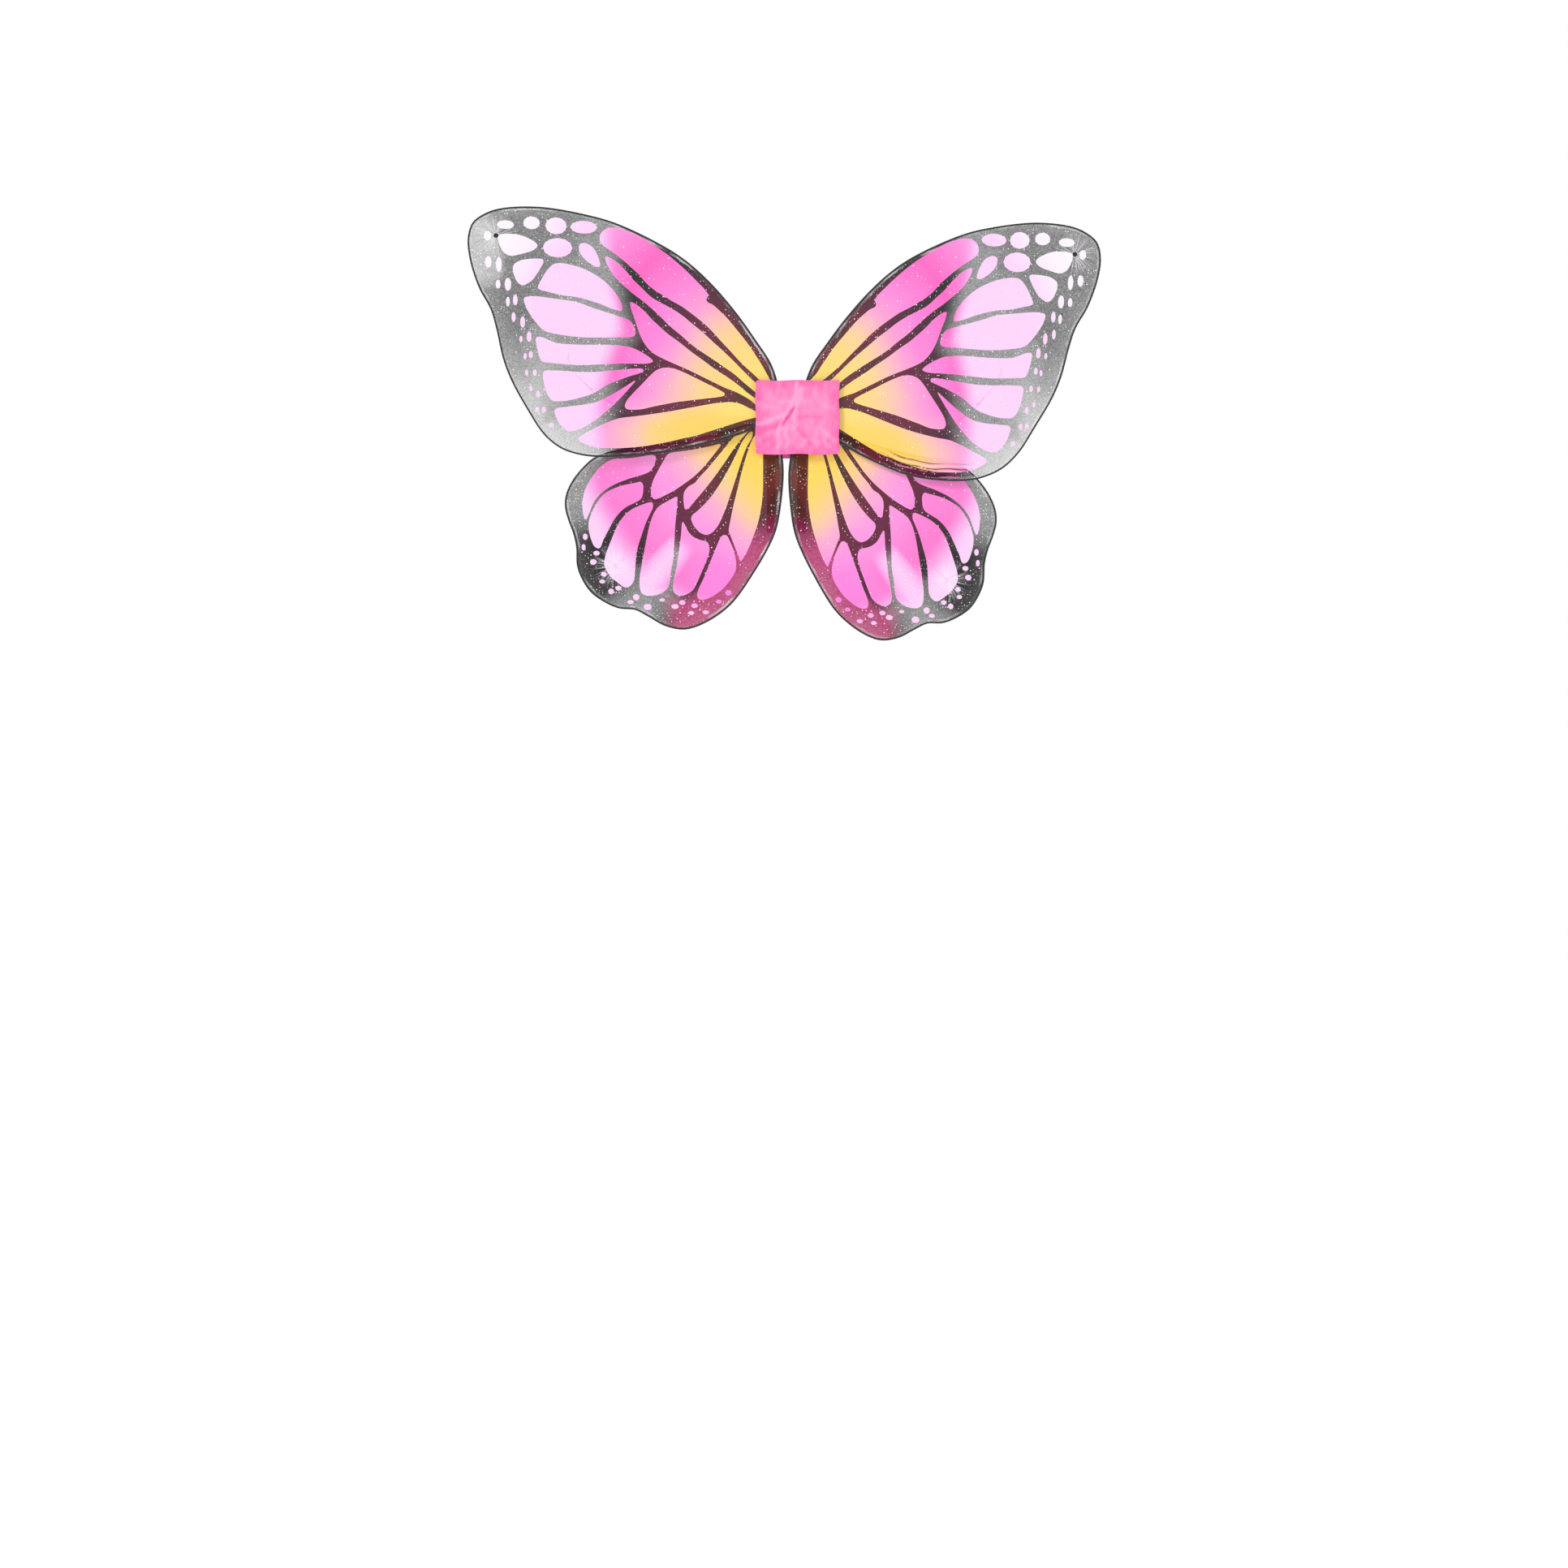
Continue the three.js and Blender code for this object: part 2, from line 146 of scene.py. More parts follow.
# %% Graphs and finishes
class Graph:
    """The nodes of a material or of the world."""

    def __init__(self, tree):
        self.tree = tree

    def feed(self, socket, value):
        if isinstance(value, Signal):
            self.tree.links.new(value.socket, socket)
        else:
            socket.default_value = value

    def node(self, kind, settings=None, inputs=None, output=0):
        """Adds a node: its settings first, then its sockets. Gives one of its outputs."""
        made = self.tree.nodes.new(kind)
        for key, value in (settings or {}).items():
            if key == "stops":
                self.set_stops(made.color_ramp, value)
            else:
                setattr(made, key, value)
        by_id = {socket.identifier: socket for socket in made.inputs}
        for key, value in (inputs or {}).items():
            socket = by_id[key] if key in by_id else made.inputs[key]
            self.feed(socket, value)
        outputs = {socket.identifier: socket for socket in made.outputs}
        found = outputs[output] if output in outputs else made.outputs[output]
        return Signal(self, found)

    @staticmethod
    def set_stops(ramp, stops):
        while len(ramp.elements) < len(stops):
            ramp.elements.new(1)
        for element, (place, colour) in zip(ramp.elements, stops):
            element.position = place
            element.color = colour

    def mixed(self, factor, first, second):
        """A colour between two others."""
        inputs = {"Factor_Float": factor, "A_Color": first, "B_Color": second}
        return self.node("ShaderNodeMix", {"data_type": "RGBA"}, inputs, "Result_Color")

    def vector(self, operation, *values, output=0):
        inputs = dict(enumerate(values))
        return self.node("ShaderNodeVectorMath", {"operation": operation}, inputs, output)

    def scaled(self, place, factors):
        """A place with each axis stretched."""
        return self.vector("MULTIPLY", place, factors)

    def part(self, vector, axis):
        return self.node("ShaderNodeSeparateXYZ", {}, {"Vector": vector}, axis)

    def flat_place(self):
        """The place on the flat cloth or film, in millimetres."""
        flat = self.node("ShaderNodeUVMap", {"uv_map": "print"})
        return self.scaled(flat, (1 / MM, 1 / MM, 1 / MM))

    def solid_place(self):
        """The place in the piece itself, in metres."""
        return self.node("ShaderNodeTexCoord", {}, {}, "Object")

    def bumps(self, height, distance, strength=1):
        inputs = {"Height": height, "Distance": distance, "Strength": strength}
        return self.node("ShaderNodeBump", {}, inputs)

    def noise(self, place, scale, detail=2, roughness=0.5):
        inputs = {"Vector": place, "Scale": scale, "Detail": detail, "Roughness": roughness}
        return self.node("ShaderNodeTexNoise", {}, inputs)


class Finish(Graph):
    """A material being made: its nodes and its Principled shader."""

    def __init__(self, name, **fixed):
        self.material = bpy.data.materials.new(name)
        self.material.use_nodes = True
        super().__init__(self.material.node_tree)
        self.shader = self.tree.nodes["Principled BSDF"]
        self.wear({key.replace("_", " "): value for key, value in fixed.items()})

    def wear(self, inputs):
        """Sets or links sockets of the Principled shader, whatever the case of their names."""
        sockets = {socket.name.lower(): socket for socket in self.shader.inputs}
        for key, value in inputs.items():
            self.feed(sockets[key.lower()], value)


def paint(red, green, blue):
    """A screen colour, 0 to 255, as the linear colour that a shader wants."""

    def to_linear(value):
        share = value / 255
        return share / 12.92 if share < 0.04045 else ((share + 0.055) / 1.055) ** 2.4

    return (to_linear(red), to_linear(green), to_linear(blue), 1)


print("a graph and a finish are ready")

# %% [markdown]
# ## Meshes from lists of points
# Every piece here is a list of points and faces worked out in numpy. One helper turns them into a
# mesh, gives each face its material, and keeps a flat map called "print", so that ink and weave
# stay in place on the cloth when a joint bends it. A second map, "relief", can carry two more
# lengths: how far a point of a film is from its edge, and how high a fold of it or of a cloth is.

# %% Make a piece from points and faces
def new_piece(
    name, points, faces, materials, face_slots=None, flat_map=None, relief=None, smooth=True
):
    mesh = bpy.data.meshes.new(name)
    mesh.from_pydata((np.asarray(points) * MM).tolist(), [], faces)
    for material in materials:
        mesh.materials.append(material)
    if face_slots is not None:
        mesh.polygons.foreach_set("material_index", np.asarray(face_slots, np.int32))
    corners = np.zeros(len(mesh.loops), np.int32)
    mesh.loops.foreach_get("vertex_index", corners)
    if relief is not None and np.ndim(relief) == 1:
        relief = np.stack([relief, np.zeros(len(relief))], axis=1)
    for map_name, values in (("print", flat_map), ("relief", relief)):
        if values is not None:
            layer = mesh.uv_layers.new(name=map_name)
            at_corners = (np.asarray(values)[corners] * MM).astype(np.float32)
            layer.uv.foreach_set("vector", at_corners.ravel())
    tidy = bmesh.new()
    tidy.from_mesh(mesh)
    bmesh.ops.recalc_face_normals(tidy, faces=tidy.faces)
    tidy.to_mesh(mesh)
    tidy.free()
    mesh.shade_smooth() if smooth else mesh.shade_flat()
    piece = bpy.data.objects.new(name, mesh)
    bpy.context.scene.collection.objects.link(piece)
    return piece


print("pieces can be made")

# %% [markdown]
# ## Lines and sections
# Wire, hem, tape, elastic and thread are all one section swept along a line. The lines are given
# by a few corners, and a smooth curve runs through them in even steps.

# %% Curves and sweeps
def unit(vectors):
    return vectors / np.linalg.norm(vectors, axis=-1, keepdims=True)


def ring_faces(rings, sides, closed):
    """Quads between rings of points, and a face on each end of an open run."""
    faces = []
    for i in range(rings if closed else rings - 1):
        here, there = i * sides, (i + 1) % rings * sides
        for k in range(sides):
            turn = (k + 1) % sides
            faces.append((here + k, here + turn, there + turn, there + k))
    if not closed:
        faces.append(tuple(range(sides)))
        faces.append(tuple(range((rings - 1) * sides, rings * sides)))
    return faces


def swept(line, across, section, closed=False):
    """A section drawn along a line: its first axis in the line's plane, its second along across."""
    line = np.asarray(line, float)
    if closed:
        ahead = unit(np.roll(line, -1, 0) - np.roll(line, 1, 0))
    else:
        ahead = unit(np.gradient(line, axis=0))
    across = np.asarray(across, float)
    side = unit(np.cross(ahead, across))
    section = np.broadcast_to(section, (len(line), *np.shape(section)[-2:]))
    rings = line[:, None] + section[..., :1] * side[:, None] + section[..., 1:] * across
    return rings.reshape(-1, 3), ring_faces(len(line), section.shape[1], closed)


def circle(sides):
    turn = np.linspace(0, 2 * np.pi, sides, endpoint=False)
    return np.stack([np.cos(turn), np.sin(turn)], axis=1)


def run_length(line):
    """The length along a line up to each of its points."""
    return np.concatenate([[0], np.cumsum(np.linalg.norm(np.diff(line, axis=0), axis=1))])


def even_steps(line, step, closed=True):
    """The same line with evenly spaced points. A closed line comes with its first point again."""
    along = run_length(line)
    count = max(8, round(along[-1] / step))
    at = np.linspace(0, along[-1], count, endpoint=not closed)
    return np.stack([np.interp(at, along, values) for values in line.T], axis=1)


def smooth_curve(corners, step, closed=True):
    """Evenly spaced points on a centripetal Catmull-Rom curve through the corners."""
    p1 = np.asarray(corners, float)
    if closed:
        p0, p2, p3 = np.roll(p1, 1, 0), np.roll(p1, -1, 0), np.roll(p1, -2, 0)
    else:
        ends = np.vstack([2 * p1[0] - p1[1], p1, 2 * p1[-1] - p1[-2]])
        p0, p1, p2, p3 = ends[:-3], ends[1:-2], ends[2:-1], ends[3:]

    def gap(a, b):
        return np.linalg.norm(b - a, axis=1, keepdims=True) ** 0.5

    first, middle, last = gap(p0, p1), gap(p1, p2), gap(p2, p3)
    leave = ((p1 - p0) / first - (p2 - p0) / (first + middle) + (p2 - p1) / middle) * middle
    reach = ((p2 - p1) / middle - (p3 - p1) / (middle + last) + (p3 - p2) / last) * middle
    t = np.linspace(0, 1, 24, endpoint=False)[None, :, None]
    start, end = p1[:, None], p2[:, None]
    leave, reach = leave[:, None], reach[:, None]
    bend = 3 * (end - start) - 2 * leave - reach
    curl = 2 * (start - end) + leave + reach
    fine = (start + leave * t + bend * t**2 + curl * t**3).reshape(-1, p1.shape[1])
    return even_steps(np.vstack([fine, p1[0] if closed else p2[-1]]), step, closed)


def far_from(points, others):
    """Each point's distance to the nearest of the others."""
    return np.array([np.sqrt(((others - p) ** 2).sum(1).min()) for p in points])


def smoothstep(values, start, end):
    t = np.clip((np.asarray(values, float) - start) / (end - start), 0, 1)
    return t * t * (3 - 2 * t)


print("curve test:", len(smooth_curve([(0, 0), (10, 0), (10, 10), (0, 10)], 2)), "points")

# %% [markdown]
# ## The wings' outlines
# A wing is one loop of springy wire. Its shape is kept as shares of the wing's reach and height,
# from the leading edge round to the trailing edge, as in the CAD. The right pair was bent by hand
# into a slightly different set: wider, lower and with a sagging hem.

# %% Sizes and outlines that the CAD uses
REACH = {"upper": 287, "lower": 200}
HEIGHT = {"upper": 190.5, "lower": 189}
SWEEP = {"upper": math.radians(6), "lower": math.radians(5)}
LAYER_Y = {"upper": -10.3, "lower": -7.0}
WIRE_D = 1.6
HAIRPIN_R = 1.4
CRIMP_L = 8
CLEARANCE = 0.3
PATCH_W, PATCH_H, PATCH_T, PATCH_X, PATCH_Z = 76, 67, 1.2, 10, 3.5
PATCH_Y = -13.8
BEND_STANDOFF = 3.5

OUTLINES = {
    "upper": (
        "0.049,0.270 0.100,0.390 0.151,0.498 0.227,0.633 0.304,0.741 0.380,0.818 0.533,0.926 "
        "0.636,0.968 0.776,0.999 0.891,0.991 0.942,0.968 0.985,0.922 1.000,0.853 0.995,0.756 "
        "0.967,0.621 0.929,0.514 0.911,0.421 0.891,0.286 0.865,0.182 0.814,0.043 0.763,-0.072 "
        "0.712,-0.134 0.661,-0.161 0.602,-0.173 0.482,-0.165 0.380,-0.147 0.304,-0.122 "
        "0.202,-0.084 0.112,-0.034"
    ),
    "lower": (
        "0.149,-0.011 0.287,-0.048 0.436,-0.087 0.594,-0.116 0.752,-0.138 0.864,-0.176 "
        "0.923,-0.230 0.971,-0.297 0.997,-0.363 1.000,-0.418 0.986,-0.477 0.963,-0.543 "
        "0.949,-0.610 0.945,-0.700 0.923,-0.763 0.883,-0.825 0.821,-0.872 0.758,-0.900 "
        "0.685,-0.907 0.626,-0.939 0.553,-0.982 0.480,-1.000 0.432,-0.994 0.345,-0.953 "
        "0.250,-0.874 0.142,-0.711 0.073,-0.580 0.047,-0.508 0.028,-0.398 0.016,-0.254"
    ),
}
ROOTS = {
    "upper": {
        "apex": (2.8, 7.5),
        "way": (0.707, 0.707),
        "first": [(9.0, 22, 0.3), (7.9, 30, 0.95)],
        "last": [(25.0, 0.5, 0.4), (20.0, 7.5, 0.2), (15.0, 12.5, 0)],
    },
    "lower": {
        "apex": (3.0, -3.0),
        "way": (0.55, -0.835),
        "first": [(14.0, -12.5, 0), (20.5, -8.5, 0)],
        "last": [(4.2, -31, 0), (5.6, -24, 0), (7.2, -17, 0)],
    },
}
PLAIN_SET = {"reach": 1, "height": 1, "lean": 0, "drop": 0, "shift": 0, "sag": 0}
SETS = {
    "upper_left": PLAIN_SET,
    "lower_left": PLAIN_SET,
    "upper_right": {
        **PLAIN_SET, "reach": 0.928, "lean": 0.057, "drop": 0.0636, "shift": 8, "sag": 13.5,
    },
    "lower_right": {**PLAIN_SET, "reach": 0.955, "height": 1.02, "lean": 0.021, "drop": 0.068},
}


def numbers(text):
    """Points from text such as "1,2 3,4"."""
    return np.array([[float(value) for value in point.split(",")] for point in text.split()])


print("upper outline:", len(numbers(OUTLINES["upper"])), "points")

# %% [markdown]
# ## From a plain wing to a hand-bent one
# `set_by_hand` moves any point of a plain wing, outline or print, to where the set puts it. The
# loop itself starts at a hairpin in its crimp, runs out under the patch, and comes back beside itself.

# %% Wing loops
def crimp_middle(level):
    root = ROOTS[level]
    return np.array(root["apex"]) + unit(np.array(root["way"])) * CRIMP_L / 2


def set_by_hand(points, level, set_, with_root=True):
    pivot = crimp_middle(level)
    out, up = (points - pivot).T
    share = points[:, 0] / REACH[level]
    below = smoothstep(-points[:, 1], -50, 16) if with_root else points[:, 1] < 0
    hang = np.sin(np.pi * np.clip((share - 0.08) / 0.72, 0, 1)) * set_["sag"] * below
    shift = set_["shift"] * (smoothstep(np.hypot(out, up), 12, 40) if with_root else 1)
    x = pivot[0] + shift + set_["reach"] * out + set_["lean"] * up
    z = pivot[1] + set_["height"] * up - set_["drop"] * out - hang
    return np.stack([x, z], axis=1)


def back_to_print(points, level, set_):
    """The plain wing's point that the set moved to each of these."""
    found = points.copy()
    for _ in range(8):
        found += points - set_by_hand(found, level, set_)
    return found


def wing_loop(level, set_, step):
    root = ROOTS[level]
    apex, way = np.array(root["apex"]), unit(np.array(root["way"]))
    across = np.array([-way[1], way[0]]) * HAIRPIN_R
    legs = (0, CRIMP_L / 2, CRIMP_L + CLEARANCE)
    outline = numbers(OUTLINES[level]) * (REACH[level], HEIGHT[level])
    shifted = {
        end: [(x + share * set_["shift"], z) for x, z, share in root[end]]
        for end in ("first", "last")
    }
    corners = [
        apex - way * HAIRPIN_R,
        *[apex + way * leg + across for leg in legs],
        *shifted["first"],
        *set_by_hand(outline, level, set_, with_root=False),
        *shifted["last"],
        *[apex + way * leg - across for leg in reversed(legs)],
    ]
    return smooth_curve(corners, step)


WIRE_STEP = 2.5
for name, set_ in SETS.items():
    loop = wing_loop(name.split("_")[0], set_, WIRE_STEP)
    print(name, "wire", round(len(loop) * WIRE_STEP), "mm, out to", loop.max(0).round(1))

# %% [markdown]
# ## The bend beside the patch
# A wing folds where it leaves the stiff patch, and it already leans back a few degrees there. The
# CAD turns it sharply at one line. Real film rolls over a few millimetres, so `lean_back` rolls it.

# %% Lean a wing back
ROLL = 6


def bend_line(level, sign):
    """A point on the line that a wing bends about, and the way out from it, in the X-Z plane."""
    if level == "upper":
        return np.array([PATCH_X + sign * (PATCH_W / 2 + BEND_STANDOFF), 0.0]), np.array([sign, 0.0])
    corner = np.array([PATCH_X + sign * PATCH_W / 2, PATCH_Z - PATCH_H / 2])
    out = unit(np.array([sign, -1.0]))
    return corner + out * BEND_STANDOFF, out


def lean_back(points, level, sign):
    start, out = bend_line(level, sign)
    layer, sweep = LAYER_Y[level], SWEEP[level]
    past = (points[:, [0, 2]] - start) @ out
    t = np.clip((past + ROLL) / (2 * ROLL), 0, 1)
    angle = sweep * t
    beyond = np.maximum(past - ROLL, 0)
    rise = sweep * ROLL * t**2 + beyond * math.sin(sweep)
    depth = points[:, 1] - layer
    along = np.minimum(past, ROLL) + beyond * math.cos(sweep) + depth * np.sin(angle)
    moved = points.copy()
    moved[:, [0, 2]] += (along - past)[:, None] * out
    moved[:, 1] = layer - rise + depth * np.cos(angle)
    return moved


def bends_with_wing(piece, level, side):
    """Finds the line that the wing bends about, and bakes the piece's place into its mesh."""
    sign = -1 if side == "left" else 1
    point, out = bend_line(level, sign)
    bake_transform(piece)


print("upper bend at x", bend_line("upper", -1)[0], bend_line("upper", 1)[0])

# %% [markdown]
# ## The print
# The film is printed before it is cut: pale and bright cells between dark veins, with rows of
# small spots along the border. Each cell is a closed outline, given outwards and upwards from the
# pad's middle on a plain wing, in tenths of a millimetre. A spot is its middle, width and height.
# The four wings share two prints, and the right ones are mirrored.

# %% Printed cells and spots of the upper wing
CELLS, SPOTS = {}, {}


def printed_cells(level):
    """The corners of each cell: in the text they are kept apart by an empty line."""
    return [numbers(cell) / 10 for cell in CELLS[level].split("\n\n")]


def printed_spots(level):
    """Each spot's middle, width and height."""
    return numbers(SPOTS[level]) / 10


CELLS["upper"] = """
1699,1653 1670,1705 1618,1734 1553,1742 1487,1727 1399,1698 1311,1653 1238,1609 1150,1551 1055,1485
959,1404 871,1323 813,1264 754,1206 718,1162 710,1132 732,1103 718,1073 674,1059 630,1022 542,941
469,853 395,765 322,670 271,589 227,523 183,442 139,361 103,295 139,288 183,325 242,376 286,420 344,471
417,537 505,633 593,721 681,816 762,890 857,963 959,1037 1047,1081 1128,1132 1201,1176 1274,1235
1333,1308 1399,1367 1457,1419 1531,1477 1604,1529 1662,1565 1692,1602

1648,1477 1604,1463 1553,1433 1516,1404 1457,1345 1384,1257 1311,1191 1238,1117 1150,1066 1047,1015
945,949 857,875 762,802 666,714 579,640 491,559 403,471 322,391 271,347 212,295 139,236 124,207 176,214
227,229 271,258 322,302 395,361 469,427 579,501 666,559 762,618 871,692 959,772 1055,846 1150,941
1238,1022 1311,1081 1384,1132 1472,1206 1553,1279 1604,1352 1640,1419

1428,1073 1369,1051 1296,993 1223,912 1150,846 1077,780 981,714 871,626 762,552 652,471 542,405 447,339
359,266 286,214 212,170 154,134 212,112 264,141 330,200 395,236 469,273 557,302 652,347 762,398 871,449
959,486 1047,523 1128,559 1201,596 1252,640 1296,699 1326,758 1348,816 1377,905 1406,985

1472,126 1450,178 1384,251 1311,325 1238,405 1179,457 1106,479 1025,471 930,435 835,391 725,339 630,295
557,255 564,229 652,214 762,200 871,185 981,170 1091,148 1201,126 1311,97 1406,90 1457,97

1904,-182 1824,-123 1728,-72 1618,-21 1516,16 1384,31 1238,53 1091,75 945,104 798,134 652,163 505,178
417,163 344,126 286,97 212,82 176,60 227,38 286,38 344,23 417,1 505,-28 615,-65 725,-101 835,-138
945,-160 1055,-189 1164,-211 1274,-233 1399,-248 1531,-256 1640,-256 1721,-256 1824,-226

2475,1382 2409,1426 2300,1441 2204,1441 2197,1411 2241,1330 2300,1242 2387,1191 2439,1228 2475,1316

2263,1169 2219,1257 2175,1330 2116,1396 2043,1407 1941,1389 1824,1352 1714,1294 1626,1228 1560,1154
1523,1103 1494,1037 1487,978 1567,993 1692,1044 1816,1081 1911,1103 2014,1110 2146,1140

2387,1088 2322,1103 2248,1103 2080,1081 1897,1059 1743,1000 1589,956 1428,905 1391,861 1369,809 1377,750
1567,743 1816,736 1933,743 2051,758 2175,780 2226,816 2270,868 2314,927 2351,985

2278,736 2212,736 2146,706 2073,677 1860,670 1626,677 1531,673 1428,662 1369,640 1311,611 1252,574
1201,530 1267,508 1384,508 1501,508 1618,501 1743,493 1882,486 2014,493 2116,501 2212,508 2234,545
2248,589

2212,435 2073,435 1897,427 1743,427 1531,449 1311,471 1289,435 1457,383 1626,317 1743,236 1897,185
2007,163 2116,156 2153,200 2175,236 2197,317

2116,97 1933,119 1743,148 1618,207 1494,280 1348,376 1443,266 1545,156 1633,75 1721,1 1809,-57 1897,-101
1977,-116 2029,-72 2073,-21

2614,1646 2519,1661 2409,1653 2300,1609 2241,1558 2300,1507 2409,1477 2497,1455 2563,1492 2600,1565

1882,1580 1824,1595 1750,1551 1706,1463 1684,1374 1736,1374 1824,1433 1882,1507
"""

SPOTS["upper"] = """
2541,1742,155,81 2307,1764,148,118 2087,1742,192,155 1838,1734,244,118 2073,1543,266,178 2702,1639,67,89
2695,1404,59,104 2600,1382,52,133 2607,1206,44,81 2519,1206,59,118 2519,1051,37,89 2453,1066,44,96
2468,912,37,89 2387,868,44,104 2402,714,30,59 2329,736,44,96 2365,559,30,59 2314,574,37,67
2351,413,30,52 2278,413,37,59 2314,273,30,52 2248,222,37,59 2256,82,37,52 2197,82,37,52 2131,-57,44,44
"""

print("upper print:", len(printed_cells("upper")), "cells,", len(printed_spots("upper")), "spots")

# %% Printed cells and spots of the lower wing
CELLS["lower"] = """
1590,-346 1487,-339 1385,-332 1180,-295 1194,-391 1238,-457 1311,-487 1421,-517 1568,-576 1678,-650
1751,-739 1795,-857 1824,-916 1846,-842 1854,-746 1832,-635 1780,-531 1692,-413

1641,-650 1568,-613 1495,-583 1348,-554 1319,-546 1297,-583 1304,-672 1326,-716 1385,-746 1458,-783
1517,-835 1568,-901 1605,-975 1663,-1086 1678,-1138 1700,-1168 1744,-1146 1773,-1079 1795,-990 1795,-916
1773,-850 1744,-783 1692,-702

1216,-731 1275,-746 1385,-790 1458,-842 1517,-916 1553,-990 1590,-1086 1619,-1160 1649,-1249 1656,-1323
1590,-1427 1531,-1471 1473,-1516 1436,-1516 1399,-1486 1377,-1434 1370,-1323 1363,-1212 1341,-1116
1311,-1027 1282,-938 1238,-842 1209,-783

1165,-776 1077,-724 996,-679 989,-694 996,-805 1011,-953 1018,-1101 1026,-1249 1048,-1360 1055,-1434
1062,-1486 1092,-1538 1150,-1575 1216,-1590 1275,-1590 1319,-1567 1333,-1508 1333,-1434 1319,-1345
1304,-1249 1275,-1101 1246,-953 1209,-842

945,-901 923,-938 887,-1012 835,-1057 777,-1079 725,-1086 703,-1116 696,-1175 725,-1264 769,-1368
813,-1471 843,-1530 887,-1567 945,-1590 996,-1582 1026,-1553 1033,-1501 1018,-1412 996,-1323 982,-1212
960,-1064 952,-953

593,-1035 542,-1027 513,-1086 476,-1175 454,-1286 462,-1360 491,-1412 542,-1486 601,-1545 689,-1604
755,-1627 799,-1619 813,-1582 799,-1523 755,-1434 711,-1323 652,-1175

835,-561 784,-494 725,-435 652,-346 579,-258 528,-191 469,-124 396,-50 330,-6 300,-21 359,-95 418,-161
484,-250 542,-339 608,-435 689,-546 784,-665 835,-724 887,-790 923,-805 930,-768 938,-694 930,-635
887,-583

865,-857 799,-805 711,-716 615,-583 528,-435 447,-272 403,-176 344,-95 300,-80 315,-147 352,-206
388,-287 447,-472 506,-657 557,-805 615,-938 667,-1005 725,-1035 784,-1012 835,-961 865,-901

315,-161 278,-110 234,-110 212,-198 212,-435 212,-620 227,-768 256,-916 300,-1042 344,-1153 396,-1249
418,-1279 432,-1234 469,-1138 506,-1042 528,-990 513,-916 484,-768 447,-620 403,-435 359,-287

1077,-287 982,-272 872,-258 689,-221 579,-191 652,-287 740,-398 835,-494 923,-561 1018,-628 1128,-687
1202,-716 1231,-672 1231,-613 1216,-546 1180,-472 1128,-376
"""

SPOTS["lower"] = """
1722,-1205,59,44 1751,-1286,59,52 1656,-1397,52,44 1670,-1464,52,37 1524,-1523,52,44 1590,-1553,52,52
1363,-1604,59,59 1414,-1649,59,37 945,-1649,59,44 1011,-1686,67,44 835,-1678,59,44 865,-1745,52,37
733,-1738,59,37 615,-1641,52,37 528,-1560,59,52 1824,-1057,44,59 1839,-1153,37,59 1128,-1627,52,30
1260,-1693,74,59
"""

print("lower print:", len(printed_cells("lower")), "cells,", len(printed_spots("lower")), "spots")

# %% [markdown]
# ## Cutting the sheet along the print
# The border between two inks has to stay crisp at any distance. A texture would blur it, so the
# mesh itself is cut along it: a constrained triangulation keeps every cell's edge as mesh edges,
# and each ink gets its own faces. Extra points in a lattice let the film bend and ripple.

# %% Triangulate a printed sheet
PRINT_STEP = 1.8
SPOT_SIDES = 12
LATTICE = 4.5
FINE_LATTICE = (3.2, 1.15)
HEM_WIDTH = 19


def soften(corners, rounds=2):
    """Rounds a closed outline's corners, as ink does."""
    for _ in range(rounds):
        ahead = np.roll(corners, -1, axis=0)
        cut = [0.8 * corners + 0.2 * ahead, 0.2 * corners + 0.8 * ahead]
        corners = np.stack(cut, axis=1).reshape(-1, 2)
    return corners


def print_outlines(level):
    found = []
    for cell in printed_cells(level):
        ring = soften(cell)
        found.append(even_steps(np.vstack([ring, ring[:1]]), PRINT_STEP))
    for x, z, width, height in printed_spots(level):
        found.append((x, z) + circle(SPOT_SIDES) * (width / 2, height / 2))
    return found


def signed_area(outline):
    """Positive where the outline runs anticlockwise."""
    x, z = outline.T
    return np.sum(x * np.roll(z, -1) - np.roll(x, -1) * z) / 2


def with_finer_hem(lattice, drawn, outline, box):
    """The lattice with closer points in a box along the outline, for folds that are close too."""
    (x0, x1), (z0, z1) = box
    step_x, step_z = FINE_LATTICE
    close = np.array([(x, z) for x in np.arange(x0, x1, step_x) for z in np.arange(z0, z1, step_z)])
    close = close[far_from(close, drawn) > 0.7]
    close = close[far_from(close, outline) < HEM_WIDTH]
    in_box = (lattice[:, 0] > x0) & (lattice[:, 0] < x1) & (lattice[:, 1] < z1)
    kept = lattice[in_box][far_from(lattice[in_box], outline) > HEM_WIDTH]
    return np.vstack([lattice[~in_box], kept, close])


